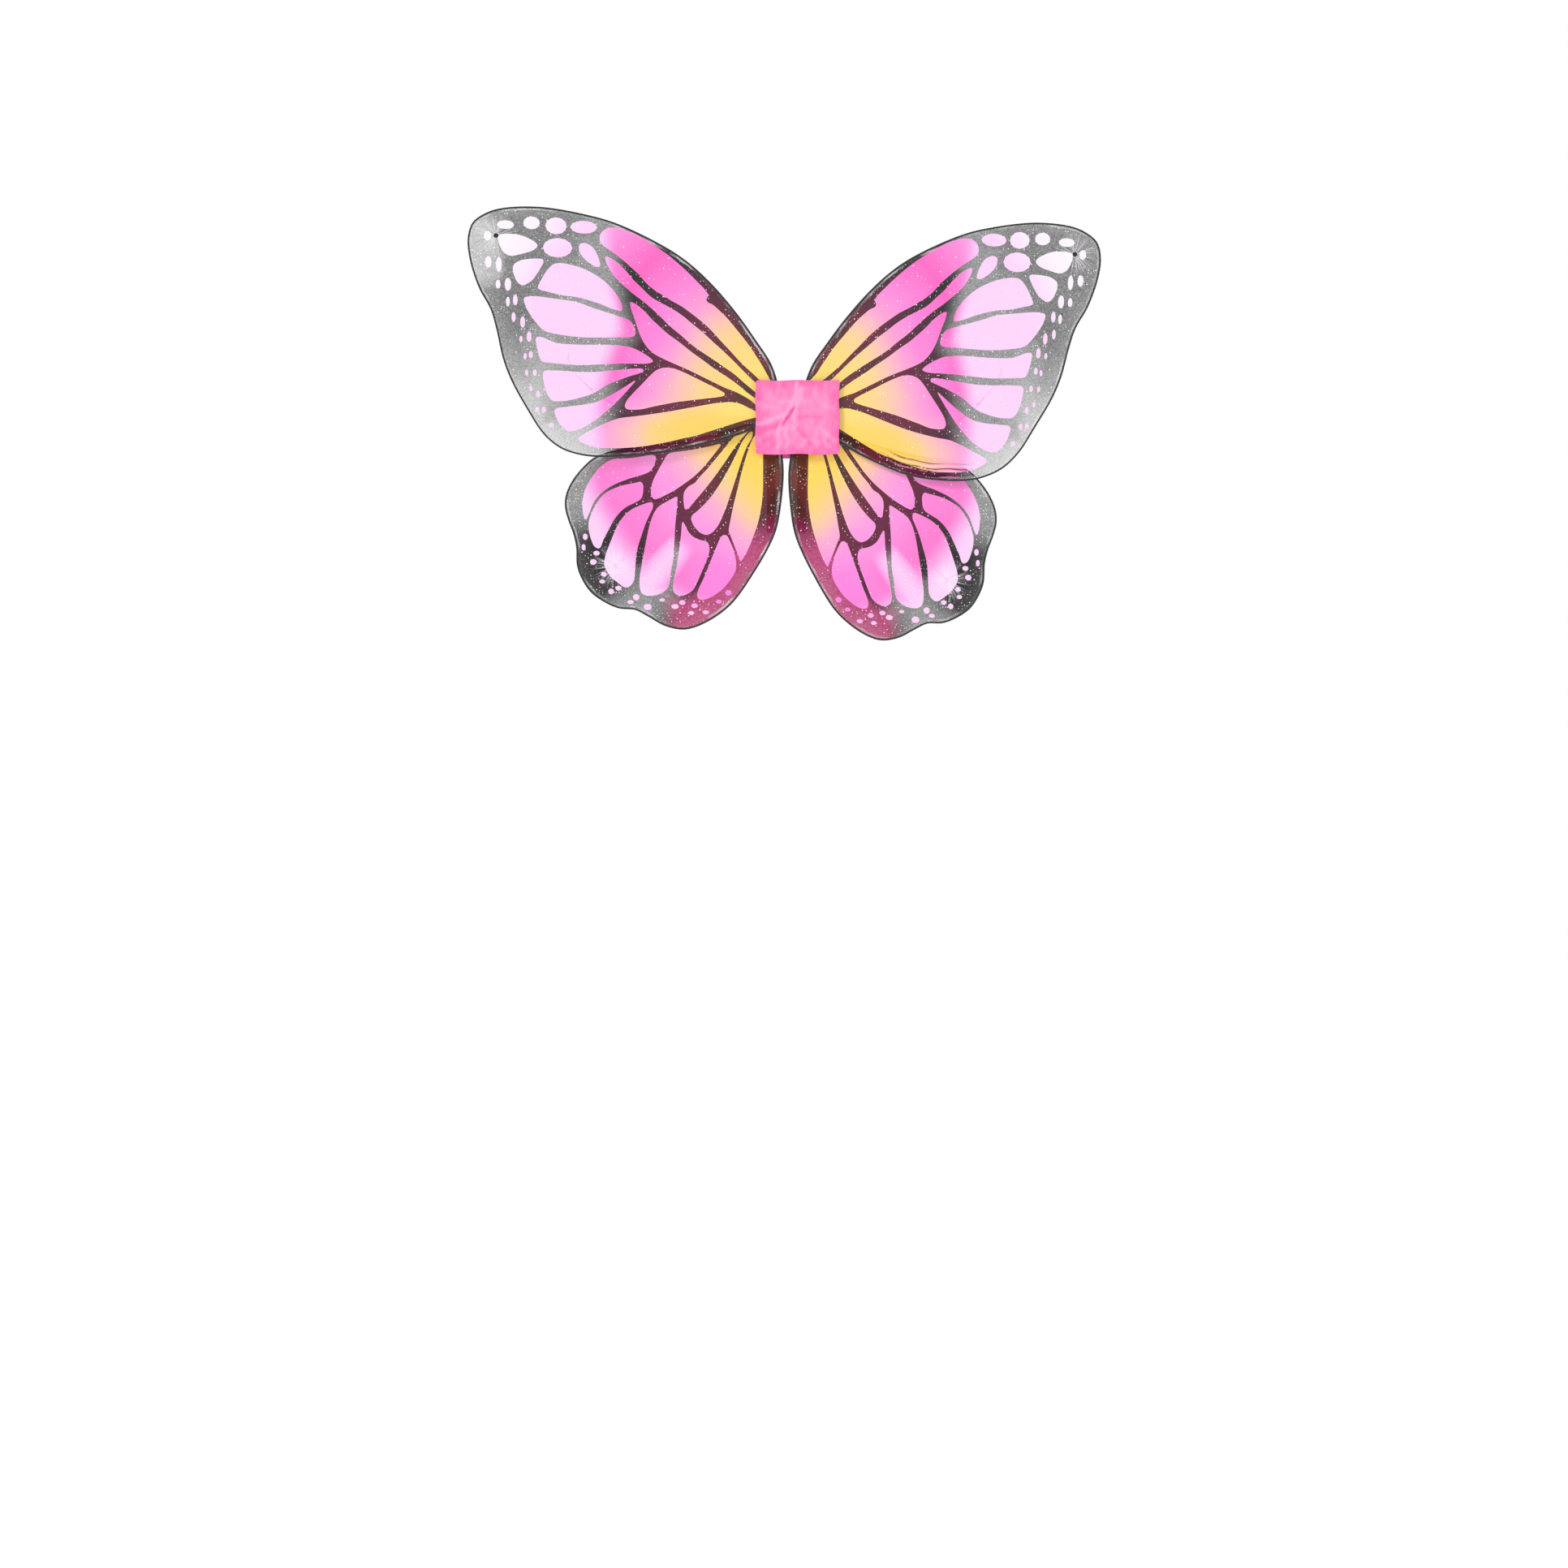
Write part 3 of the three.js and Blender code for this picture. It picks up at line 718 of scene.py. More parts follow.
def printed_sheet(outline, cells, fine_box=None):
    """Points and triangles inside the outline, and which triangles are in a cell."""
    outline, *cells = [ring if signed_area(ring) > 0 else ring[::-1] for ring in (outline, *cells)]
    low, high = outline.min(0), outline.max(0)
    rows = np.arange(low[1], high[1], LATTICE * 0.866)
    lattice = np.array([
        (x, z)
        for i, z in enumerate(rows)
        for x in np.arange(low[0] + (i % 2) * LATTICE / 2, high[0], LATTICE)
    ])
    drawn = np.vstack([outline, *cells])
    lattice = lattice[far_from(lattice, drawn) > LATTICE * 0.45]
    if fine_box:
        lattice = with_finer_hem(lattice, drawn, outline, fine_box)
    loops, start = [], 0
    for ring in [outline, *cells]:
        loops.append(list(range(start, start + len(ring))))
        start += len(ring)
    points = [Vector(p) for p in np.vstack([drawn, lattice])]
    verts, _, faces, _, _, sources = delaunay_2d_cdt(points, [], loops, 1, 1e-4, True)
    kept = [(face, source) for face, source in zip(faces, sources) if 0 in source]
    used = sorted({v for face, _ in kept for v in face})
    number = {v: i for i, v in enumerate(used)}
    triangles = [[number[v] for v in face] for face, _ in kept]
    inked = [len(source) > 1 for _, source in kept]
    return np.array([verts[v] for v in used]), triangles, inked


square = np.array([(0, 0), (40, 0), (40, 40), (0, 40.0)])
places, faces, inked = printed_sheet(square, [square * 0.5 + 10])
print("test sheet:", len(places), "points,", len(faces), "triangles,", sum(inked), "in the cell")

# %% [markdown]
# ## Printing helpers
# Everything in an ink is worked out from the flat print map, so it bends with the film. The place
# on the print gives the distance and direction from the root. Glitter, with its glints painted white,
# and grain are small random dots, and a fine cockle, deepest along the edge, is shared by all inks.

# %% Places, dots and ripples
def print_place(finish):
    """The place on the print, and the distance and direction from the root, in millimetres."""
    place = finish.flat_place()
    out, up = (finish.part(place, axis) for axis in "XY")
    far = (out * out + up * up) ** 0.5
    return place, out, up, far, up / far.most(1)


def relief_of(finish, axis="X"):
    """One of the piece's two extra lengths, in millimetres."""
    return finish.part(finish.node("ShaderNodeUVMap", {"uv_map": "relief"}), axis) * (1 / MM)


def scattered(finish, place, spacing, output):
    """Random points about that far apart: the distance to the nearest, or its random colour."""
    settings = {"voronoi_dimensions": "2D", "feature": "F1"}
    inputs = {"Vector": place, "Scale": 1 / spacing}
    return finish.node("ShaderNodeTexVoronoi", settings, inputs, output)


def dots(finish, place, spacing, radius, share):
    """Round specks of mixed size, crowded in places: that share of the points shows."""
    random = scattered(finish, place, spacing, "Color")
    chance, size = (finish.part(random, axis) for axis in "XY")
    crowd = finish.noise(place, 0.05, 2).rising(0.3, 0.68) * 1.5
    reach = (size * size + 0.35) * (radius / spacing)
    return (scattered(finish, place, spacing, "Distance") < reach) * (chance < crowd * share)


def grain(finish, place, size):
    """A random value for every grain of that size."""
    return finish.part(scattered(finish, place, size, "Color"), "X")


def film_ripples(finish, place):
    """The fine cockle of printed film that is pulled over a wire, deepest along its edge."""
    wide = finish.noise(place, 0.045, 3, 0.55)
    streaks = finish.noise(finish.scaled(place, (0.03, 0.22, 1)), 1, 2, 0.5)
    tight = finish.noise(place, 0.3, 3, 0.6) * (1 - relief_of(finish).rising(1, 12))
    return finish.bumps(wide * 0.7 + streaks * 0.3 + tight * 0.4, 0.0018, 0.6)


print("printing helpers are ready")

# %% [markdown]
# ## Marks of use, and a painted highlight
# Film that has been folded shows it. One thin bent line crosses the pale cells where the wing was
# once folded, and fine white strokes that run out from one place on each wing are a painted
# highlight: the star of light round a crumple in the film.

# %% Fold and painted highlight
OLD_FOLD_MIDDLE, OLD_FOLD_R = (148, 62), 47.5
SUNBURST_MIDDLE = {"upper": (262.6, 164), "lower": (155, -132)}
SPECK_R = 2.2


def away_from(finish, place, middle):
    """The way from a place on the print, and how far it is."""
    way = finish.vector("SUBTRACT", place, (*middle, 0))
    return way, finish.vector("LENGTH", way, output="Value")


def old_fold(finish, place, out, up):
    """Part of a circle's line, bent by noise and faint in places."""
    _, gap = away_from(finish, place, OLD_FOLD_MIDDLE)
    gap = gap - OLD_FOLD_R + (finish.noise(place, 0.05, 3) - 0.5) * 16
    faint = finish.noise(place, 0.12, 2).rising(0.3, 0.6)
    line = 1 - gap.maths("ABSOLUTE", gap).rising(0.12, 0.6)
    return line * faint * out.rising(146, 154) * (1 - up.rising(58, 74)) * up.rising(6, 12)


def sunburst_highlight(finish, place, level, reach):
    """Fine strokes that run out from one place: a painted highlight, the white star of light round a
    crumple.
    """
    way, gap = away_from(finish, place, SUNBURST_MIDDLE[level])
    strokes = finish.noise(finish.vector("NORMALIZE", way), 9, 2).rising(0.42, 0.62)
    return (1 - gap.rising(reach * 0.1, reach)) * strokes * (gap > SPECK_R)


print("sunburst_highlights at", SUNBURST_MIDDLE)

# %% [markdown]
# ## Cell ink
# The inks are translucent, so they are drawn by colour and by alpha together. Close to the root
# the cells are a dense yellow that warms to peach and hot pink, and outwards they pale to a thin
# lilac pink. A ramp gives the colours along the distance from the root, which is stretched a
# little in some directions so that the colours don't end on a circle.

# %% Cell ink
RAMP_SPAN = 260
CELL_STOPS = {
    "upper": (
        "0.0,247,216,92 0.17,247,211,96 0.27,247,203,112 0.33,247,196,134 0.39,247,178,172 "
        "0.46,246,146,200 0.54,244,118,204 0.61,243,100,192 0.68,242,78,180 0.82,243,130,208"
    ),
    "lower": (
        "0.0,247,204,60 0.21,247,204,68 0.27,247,200,104 0.32,247,192,146 0.38,246,164,194 "
        "0.45,246,142,212 0.52,245,134,210 0.58,246,118,202 0.68,244,106,194"
    ),
}
GOLD_INK = paint(246, 196, 66)
LILAC_INK = paint(242, 118, 212)
PALE_INK = paint(245, 131, 231)
TIP_INK = paint(236, 208, 246)
FOLD_INK = paint(196, 80, 150)
# painted shade for the hollows and painted highlight for the crests of the hem's folds
HEM_FOLD_SHADE_AND_HIGHLIGHT = (paint(78, 34, 48), paint(255, 214, 236))
# white of painted glints: on the glitter flakes and in the painted highlight
GLINT_WHITE = paint(255, 250, 252)
INK_COAT = 0.09


def ink_ramp(finish, text, far):
    """Colours along a distance. Each is a share of the span, then red, green and blue."""
    stops = [(share, paint(*colour)) for share, *colour in numbers(text)]
    return finish.node("ShaderNodeValToRGB", {"stops": stops}, {"Fac": far / RAMP_SPAN})


def warmth_reach(level, up_share):
    """How far the warm colours run in each direction, as a share of their usual reach."""
    if level == "lower":
        return 1 + 0.12 * up_share.rising(-0.8, -1)
    return 1 + 0.42 * (1 - up_share.rising(-0.1, 0.2)) + 0.08 * up_share.rising(0.45, 0.85)


def held_upwards(far, up_share):
    """The distance from the root, shortened upwards, where strong colour runs farther."""
    return far / (1 + 0.5 * up_share.rising(0.45, 0.85))


def cell_ink(level):
    finish = Finish(
        f"{level}_cell_ink", roughness=0.3, specular_ior_level=0.3, coat_roughness=INK_COAT
    )
    place, out, up, far, up_share = print_place(finish)
    cloud = finish.noise(place, 0.02, 3) - 0.5
    warped = far / warmth_reach(level, up_share) + cloud * 16
    colour = ink_ramp(finish, CELL_STOPS[level], warped)
    if level == "upper":
        # pale outwards, golden along the trailing edge, nearly white at the tip
        pale = (held_upwards(far, up_share) + cloud * 7).rising(160, 182)
        golden = (1 - up_share.rising(0, 0.2)) * (1 - warped.rising(70, 100))
        tip = far.rising(248, 296)
        fold = old_fold(finish, place, out, up)
        colour = finish.mixed(golden * 0.7, colour, GOLD_INK)
        colour = finish.mixed(pale, colour, PALE_INK)
        colour = finish.mixed(tip, colour, TIP_INK)
        colour = finish.mixed(fold * 0.55, colour, FOLD_INK)
        alpha = 0.93 - 0.5 * pale - 0.12 * tip + 0.25 * fold
    else:
        # lilac low down, and pale at the rim and in a wedge that points at the root
        lilac = far.rising(120, 150) * (0 - up_share).rising(0.82, 0.93)
        wedge = up_share.band(-0.76, 0.06) * far.rising(138, 156)
        pale = (far + cloud * 12).rising(172, 202).most(wedge * 0.9)
        colour = finish.mixed(lilac * 0.85, colour, LILAC_INK)
        colour = finish.mixed(pale, colour, PALE_INK)
        alpha = 0.94 - 0.5 * pale
    # painted highlight: white strokes of light round a crumple in the film
    colour = finish.mixed(sunburst_highlight(finish, place, level, 19) * 0.6, colour, GLINT_WHITE)
    # painted shade darkens the gathered hem in the hollows of its folds, and painted highlight lightens
    # it on their crests
    folds = relief_of(finish, "Y")
    hollow_shade, crest_highlight = HEM_FOLD_SHADE_AND_HIGHLIGHT
    colour = finish.mixed(folds.rising(-0.35, -0.75) * 0.8, colour, hollow_shade)
    colour = finish.mixed(folds.rising(0.5, 0.95) * 0.55, colour, crest_highlight)
    # glitter flakes in the print, with their glint painted white
    glitter_glint = dots(finish, place, 4.6, 0.4, 0.3)
    finish.wear({
        "Base Color": finish.mixed(glitter_glint, colour, GLINT_WHITE),
        "Alpha": (alpha + cloud * 0.06).most(glitter_glint * 0.95),
        "Coat Weight": 0.1 + 0.4 * cloud.most(0),
        "Normal": film_ripples(finish, place),
    })
    return finish.material


CELL_INK = {level: cell_ink(level) for level in REACH}
print("cell inks:", [ink.name for ink in CELL_INK.values()])

# %% [markdown]
# ## Line ink
# The veins and the border are a maroon black that thins outwards to a grainy grey, thinnest low
# down and along the edge. Random grains vary the alpha, as a thin print does. The left upper tip
# is rubbed nearly clear, so its film has an ink of its own. The lower border blushes pink.

# %% Line ink
LINE_STOPS = {
    "upper": (
        "0.0,92,40,34 0.25,98,26,38 0.42,98,12,52 0.55,66,12,40 0.68,22,14,20 0.8,13,13,15"
    ),
    "lower": (
        "0.0,110,58,30 0.27,98,36,34 0.4,106,16,56 0.55,88,14,54 0.68,40,13,28 0.8,20,13,18"
    ),
}
# colour of a painted reflection on the glossy film near the root
OLIVE_REFLECTION = paint(50, 34, 20)
BLUSH_INK = paint(178, 30, 106)
# painted highlight for the crests of the hem's folds
CREST_HIGHLIGHT = paint(214, 150, 178)
# white of the painted highlight round a crumple, on the line ink
SUNBURST_HIGHLIGHT_WHITE = paint(226, 222, 228)
SPECK_MIDDLE, SPECK_AREA = SUNBURST_MIDDLE["upper"], 4.2


def frosted_tip(out, up, cloud):
    """An oval at the wing's tip, with an uneven edge."""
    across, along = (out - 274) / 20, (up - 150) / 34
    return (across * across + along * along + cloud * 1.6).rising(1.25, 0.3)


def line_ink(level, frosted=False):
    name = f"{level}_frosted_line_ink" if frosted else f"{level}_line_ink"
    finish = Finish(name, roughness=0.36, specular_ior_level=0.07, coat_roughness=INK_COAT)
    place, out, up, far, up_share = print_place(finish)
    cloud = finish.noise(place, 0.035, 4) - 0.5
    gap = relief_of(finish)
    edge = 1 - (gap + cloud * 4).rising(1, 17)
    colour = ink_ramp(finish, LINE_STOPS[level], far)
    # painted reflection: dark olive patches near the root, as glossy film shows
    olive_reflection_patches = finish.noise(place, 0.028, 2).rising(0.42, 0.62) * (1 - far.rising(60, 150))
    colour = finish.mixed(olive_reflection_patches * 0.75, colour, OLIVE_REFLECTION)
    if level == "upper":
        # thin outwards, denser round the tip, thinnest at the low outer border
        thin = (held_upwards(far, up_share) + cloud * 16).rising(146, 176)
        dense = (far + cloud * 30).rising(222, 262)
        low = 1 - up.rising(0, 90)
        outer = far.rising(195, 235).most((1 - up.rising(-10, 10)) * far.rising(150, 195))
        alpha = 0.96 - 0.31 * thin + 0.1 * dense - 0.06 * thin * edge - 0.27 * low * outer
        if frosted:
            alpha = alpha - 0.3 * frosted_tip(out, up, cloud)
        # one black speck, where the painted highlight's strokes meet
        off_x, off_z = out - SPECK_MIDDLE[0], up - SPECK_MIDDLE[1]
        alpha = alpha.most((off_x * off_x + off_z * off_z) < SPECK_AREA)
        uneven = thin
    else:
        # thin along the outer side and in the wedge, and blushing along the lower border
        side_strip = out.rising(150, 186) * up.rising(-112, -80)
        thin = side_strip.most(up_share.band(-0.78, 0.09) * far.rising(140, 160))
        blush = far.rising(85, 125) * (1 - out.rising(94, 118)) * (1 - gap.rising(18, 34))
        colour = finish.mixed(blush * 0.9, colour, BLUSH_INK)
        alpha = 0.97 - 0.28 * thin - 0.05 * blush - 0.04 * edge * far.rising(120, 150)
        uneven = thin.most(blush * 0.5)
    grains = grain(finish, place, 0.55) * 0.6 + grain(finish, place, 0.3) * 0.4 - 0.5
    alpha = alpha + grains * (0.06 + 0.34 * uneven) + cloud * 0.1 * thin
    # painted highlight on the crests of the gathered hem
    crest_highlight = relief_of(finish, "Y").rising(0.4, 0.9)
    colour = finish.mixed(crest_highlight * 0.6, colour, CREST_HIGHLIGHT)
    # painted highlight: white strokes of light round a crumple in the film
    colour = finish.mixed(sunburst_highlight(finish, place, level, 24) * 0.7, colour, SUNBURST_HIGHLIGHT_WHITE)
    # glitter flakes in the print, with their glint painted white
    glitter_glint = dots(finish, place, 2.6, 0.42, 0.4)
    finish.wear({
        "Base Color": finish.mixed(glitter_glint * 0.85, colour, GLINT_WHITE),
        "Alpha": alpha.most(glitter_glint * 0.9),
        "Coat Weight": 0.1 + 0.4 * cloud.most(0),
        "Normal": film_ripples(finish, place),
    })
    return finish.material


LINE_INK = {level: line_ink(level) for level in REACH}
FROSTED_INK = line_ink("upper", frosted=True)
print("line inks:", [ink.name for ink in (*LINE_INK.values(), FROSTED_INK)])

# %% [markdown]
# ## Clear film
# The wearer's side of a wing is plain film: nearly clear, glossy and cockled like the print.

# %% Clear film and the inks of each wing
def clear_film():
    finish = Finish("clear_film", base_color=paint(252, 250, 252), roughness=0.12, alpha=0.05)
    finish.wear({"Normal": film_ripples(finish, finish.flat_place())})
    return finish.material


CLEAR_FILM = clear_film()


def wing_inks(level, side):
    """A film's three materials: clear face, lines and cells."""
    line = FROSTED_INK if (level, side) == ("upper", "left") else LINE_INK[level]
    return [CLEAR_FILM, line, CELL_INK[level]]


print("left upper wing:", [ink.name for ink in wing_inks("upper", "left")])

# %% [markdown]
# ## Wire and hem
# The loops are spring wire in a black plastic coat. The film's edge is folded over the wire and
# welded, which leaves a clear, slightly crumpled sleeve that catches the light along the edge.

# %% Finishes for wire and hem
def coated_wire():
    finish = Finish("black_coated_wire", specular_ior_level=0.25)
    place = finish.solid_place()
    wear = finish.noise(place, 700, 3, 0.6)
    finish.wear({
        "Base Color": finish.mixed(wear.rising(0.62, 0.85), paint(9, 8, 9), paint(44, 40, 42)),
        "Roughness": 0.26 + 0.22 * wear,
        "Normal": finish.bumps(wear, 0.00012, 0.4),
    })
    return finish.material


def clear_hem():
    finish = Finish("clear_hem", base_color=paint(250, 248, 250))
    place = finish.solid_place()
    crumple = finish.noise(place, 420, 3, 0.6)
    shine = finish.noise(place, 45, 2, 0.4)
    finish.wear({
        "Roughness": 0.1 + 0.2 * crumple,
        "Alpha": 0.03 + 0.42 * shine.rising(0.42, 0.7) * relief_of(finish).rising(0.8, 1.6),
        "Normal": finish.bumps(crumple, 0.0005, 0.7),
    })
    return finish.material


WIRE_FINISH = coated_wire()
HEM_FINISH = clear_hem()
print("wire and hem finishes are ready")

# %% [markdown]
# ## How the film lies
# The film billows a little between the wires, always away from the other wing of its side, and
# the right upper wing is slack: its hem lies in folds. Both are worked out on the flat print.

# %% Billow and gathers
FILM_T = 0.2
FILM_EDGE = 0.3
HEM_BOX = ((60, 196), (-60, 6))


def film_outline(loop, edge):
    """The film's edge, from where the wires leave the crimp, inside the wire's middle line."""
    ahead = unit(np.roll(loop, -1, 0) - np.roll(loop, 1, 0))
    inward = np.stack([-ahead[:, 1], ahead[:, 0]], axis=1) * np.sign(signed_area(loop)) * edge
    return past_crimp(loop + inward)


def past_crimp(loop):
    """The part of a loop that the film and its hem go round."""
    skipped = round((CRIMP_L + 4 * HAIRPIN_R) / WIRE_STEP)
    return loop[skipped : len(loop) - skipped]


def gathered_hem(print_points, edge_gap, level, side):
    """Folds along the right upper wing's hem: how much of them, and each fold from -1 to 1."""
    x, z = print_points.T
    folds = np.sin(edge_gap * 1.25 + 0.9 * np.sin(0.07 * x) + 0.6 * np.sin(0.19 * x + 1))
    if (level, side) != ("upper", "right"):
        return np.zeros(len(x)), folds
    along = smoothstep(x, 62, 100) * (1 - smoothstep(x, 168, 196)) * (z < 20)
    return along * smoothstep(edge_gap, 0.3, 2) * (1 - smoothstep(edge_gap, 11, HEM_WIDTH)), folds


def billow(print_points, edge_gap, side):
    """How far the film stands off its plane between the wires, in millimetres."""
    x, z = print_points.T
    phase = 0.9 if side == "left" else 2.3
    calm = smoothstep(np.hypot(x, z), 42, 110) * smoothstep(edge_gap, 0, 26)
    waves = (
        0.5 + 0.5 * np.sin(0.052 * x + 0.031 * z + phase)
        + 0.35 * np.sin(0.024 * x - 0.083 * z + 2 * phase)
        + 0.22 * np.sin(0.13 * z - 0.09 * x + 3 * phase)
    )
    return calm * (1.2 + 1.1 * waves)


print("film", FILM_T, "mm thick")

# %% [markdown]
# ## The printed film
# The film is a thin closed sheet, with the printed face outwards and a clear face to the wearer.
# The printed face is the cut sheet moved to its depth; the clear face is the same one turned over.

# %% Printed film
def thin_shell(front, back, faces, inked):
    """The points, faces and material slots of a sheet with two faces and a rim."""
    count = len(front)
    shell = [list(face) for face in faces]
    shell += [[v + count for v in reversed(face)] for face in faces]
    sides = dict.fromkeys((a, b) for face in faces for a, b in zip(face, face[1:] + face[:1]))
    rim = [(a, b) for a, b in sides if (b, a) not in sides]
    shell += [[b, a, a + count, b + count] for a, b in rim]
    slots = [2 if inside else 1 for inside in inked] + [0] * (len(faces) + len(rim))
    return np.vstack([front, back]), shell, slots


def printed_film(level, side, sign, outline):
    set_, layer = SETS[f"{level}_{side}"], LAYER_Y[level]
    cells = [set_by_hand(cell, level, set_) for cell in print_outlines(level)]
    fine_box = HEM_BOX if (level, side) == ("upper", "right") else None
    flat, faces, inked = printed_sheet(outline, cells, fine_box)
    print_points = back_to_print(flat, level, set_)
    edge_gap = far_from(flat, outline)
    gathers, folds = gathered_hem(print_points, edge_gap, level, side)
    away = -1 if level == "upper" else 1
    off = away * (billow(print_points, edge_gap, side) + gathers * (0.8 + 0.6 * folds))
    front = np.stack([sign * flat[:, 0], layer - FILM_T / 2 + off, flat[:, 1]], axis=1)
    points, shell, slots = thin_shell(front, front + (0, FILM_T, 0), faces, inked)
    return new_piece(
        f"{level}_{side}_printed_film",
        lean_back(points, level, sign),
        shell,
        wing_inks(level, side),
        slots,
        np.tile(print_points, (2, 1)),
        np.tile(np.stack([edge_gap, gathers * folds], axis=1), (2, 1)),
    )


print("a film's slots: clear, line, cell")

# %% [markdown]
# ## Wire loop and welded hem
# The wire is a round section swept along the loop. The hem is a flat uneven sleeve round it, with
# more of it on the film's side, where the folded edge is welded down.

# %% Wire and hem
WIRE_SIDES = 8
SLEEVE_OUT, SLEEVE_IN, SLEEVE_HALF_T = 1.2, 3.0, 1.1
SLEEVE_SIDES = 12
SLEEVE_UNEVEN = 0.3


def wire_loop(level, side, sign, line):
    points, rings = swept(line, (0, 1, 0), circle(WIRE_SIDES) * WIRE_D / 2, closed=True)
    name = f"{level}_{side}_wire_loop"
    return new_piece(name, lean_back(points, level, sign), rings, [WIRE_FINISH])


def welded_hem(level, side, sign, line):
    held = past_crimp(line)
    uneven = np.array([noise.noise(Vector(point) * 0.21 + Vector((0, 0, 5))) for point in held])
    round_ = circle(SLEEVE_SIDES)
    inner = np.maximum(round_[:, 0], 0)
    inward = np.sign(signed_area(line[:, [0, 2]]))
    reach = np.where(round_[:, 0] > 0, SLEEVE_IN, SLEEVE_OUT) * round_[:, 0]
    thick = round_[:, 1] * SLEEVE_HALF_T * (1 - 0.62 * inner)
    section = np.stack([inward * reach, thick], axis=1)
    sections = section[None] * (1 + SLEEVE_UNEVEN * uneven[:, None, None])
    points, rings = swept(held, (0, 1, 0), sections)
    points = lean_back(points, level, sign)
    hem_relief = np.tile(reach, len(held))
    return new_piece(f"{level}_{side}_welded_hem", points, rings, [HEM_FINISH], relief=hem_relief)


print("hem", SLEEVE_OUT + SLEEVE_IN, "mm wide")

# %% [markdown]
# ## Four wings
# Each wing has three pieces: film, wire and hem. The film is one cut sheet, held stretched by its wire.

# %% Make the wings
def make_wing(level, side):
    name, sign = f"{level}_{side}", -1 if side == "left" else 1
    loop = wing_loop(level, SETS[name], WIRE_STEP)
    outline = film_outline(loop, FILM_EDGE)
    line = np.stack([sign * loop[:, 0], np.full(len(loop), LAYER_Y[level]), loop[:, 1]], axis=1)
    film = printed_film(level, side, sign, outline)
    wire = wire_loop(level, side, sign, line)
    sleeve = welded_hem(level, side, sign, line)
    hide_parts(f"{name}_film", f"{name}_film_root")
    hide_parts(f"{name}_wire", f"{name}_wire_root")
    for piece, slot in ((film, "film"), (wire, "wire"), (sleeve, "film")):
        bends_with_wing(piece, level, side)
    cut = tuple((outline.max(0) - outline.min(0)) * MM)


for side in ("left", "right"):
    for level in ("lower", "upper"):
        make_wing(level, side)

# %% [markdown]
# ## Plush fabric
# Patch and pad are cut from one pink knitted plush: a short soft pile that is lighter where it
# leans to the light. Painted shade deepens it in the hollows of its folds and painted highlight
# lightens their crests. The pile is fine grain in the bump and a sheen.

# %% Plush finish
def plush(name, light, deep):
    finish = Finish(name, roughness=0.85, sheen_weight=0.12, sheen_roughness=0.5)
    place = finish.flat_place()
    brushed = finish.noise(finish.scaled(place, (0.16, 0.07, 1)), 1, 4, 0.6)
    knit = grain(finish, place, 0.45)
    fluff = finish.noise(place, 1.4, 2, 0.7)
    fold_shade_and_highlight = relief_of(finish)
    # painted shade in the hollows of the folds and painted highlight on their crests, from the fold
    # height in the relief map
    tone = (0.1 + brushed * 0.7 + (knit - 0.5) * 0.2 + fold_shade_and_highlight * 0.55).most(0).least(1)
    lint = dots(finish, place, 4.5, 0.3, 0.25)
    colour = finish.mixed(tone, deep, light)
    finish.wear({
        "Base Color": finish.mixed(lint * 0.5, colour, paint(255, 236, 246)),
        "Normal": finish.bumps(knit * 0.4 + fluff * 0.6, 0.00045, 0.5),
    })
    return finish.material


PATCH_PLUSH = plush("bubblegum_plush", paint(255, 156, 202), paint(248, 98, 166))
PAD_PLUSH = plush("rose_plush", paint(252, 138, 192), paint(240, 88, 160))
print("plush:", PATCH_PLUSH.name, PAD_PLUSH.name)

# %% [markdown]
# ## The patch
# A square of plush covers the joined wires. It is only caught in the middle, so it puckers there:
# a deep crease runs down from the top, a second one leaves it for the left edge, and soft tucks
# fan out below. Each crease is a line with a height and a width, and the sheet is raised along it.

# %% Creases and flat sheets
PATCH_STEP = 1.0
CREASES = [
    ("9.5,34 9,24 5,14 1,7 -3,0 -7,-8", 1.5, 1.9),
    ("14,30 11.5,20 9,12 7,4 7,-6", 1.1, 2.6),
    ("-27.5,-3 -20,-2 -13,1.5 -7,4 -1,7.5", 1.0, 2.0),
    ("-27,-7 -18,-7 -9,-4 -3,0", -0.7, 2.6),
    ("-5,-6 -8,-13 -6,-20 -9,-29", 0.8, 2.0),
    ("1,-4 -1,-11 2,-18 0,-24", 0.7, 1.7),
    ("7,12 3,5.5 -1,1 -4,-4", -1.5, 1.2),
    ("-12,20 -4,17 2,18", 0.5, 1.7),
    ("14,-22 20,-16 30,-20", 0.5, 1.9),
    ("-20,-18 -14,-14 -12,-22", -0.6, 2.2),
    ("6,-2 12,-8 18,-14 22,-20", -0.7, 2.4),
    ("10,3 20,4.5 32,3.5", -0.5, 2.0),
    ("-24,16 -14,14 -6,12", 0.5, 2.6),
    ("30,-6 38,-12 44,-18", 0.6, 2.4),
    ("26,24 34,16 42,12", 0.4, 3.0),
    ("4,10 1,6 0,3", -1.2, 1.6),
]


def to_line(points, line):
    """Each point's distance to a bent line."""
    best = np.full(len(points), 1e9)
    for start, end in zip(line[:-1], line[1:]):
        t = np.clip(((points - start) @ (end - start)) / ((end - start) ** 2).sum(), 0, 1)
        best = np.minimum(best, np.linalg.norm(points - start - t[:, None] * (end - start), axis=1))
    return best


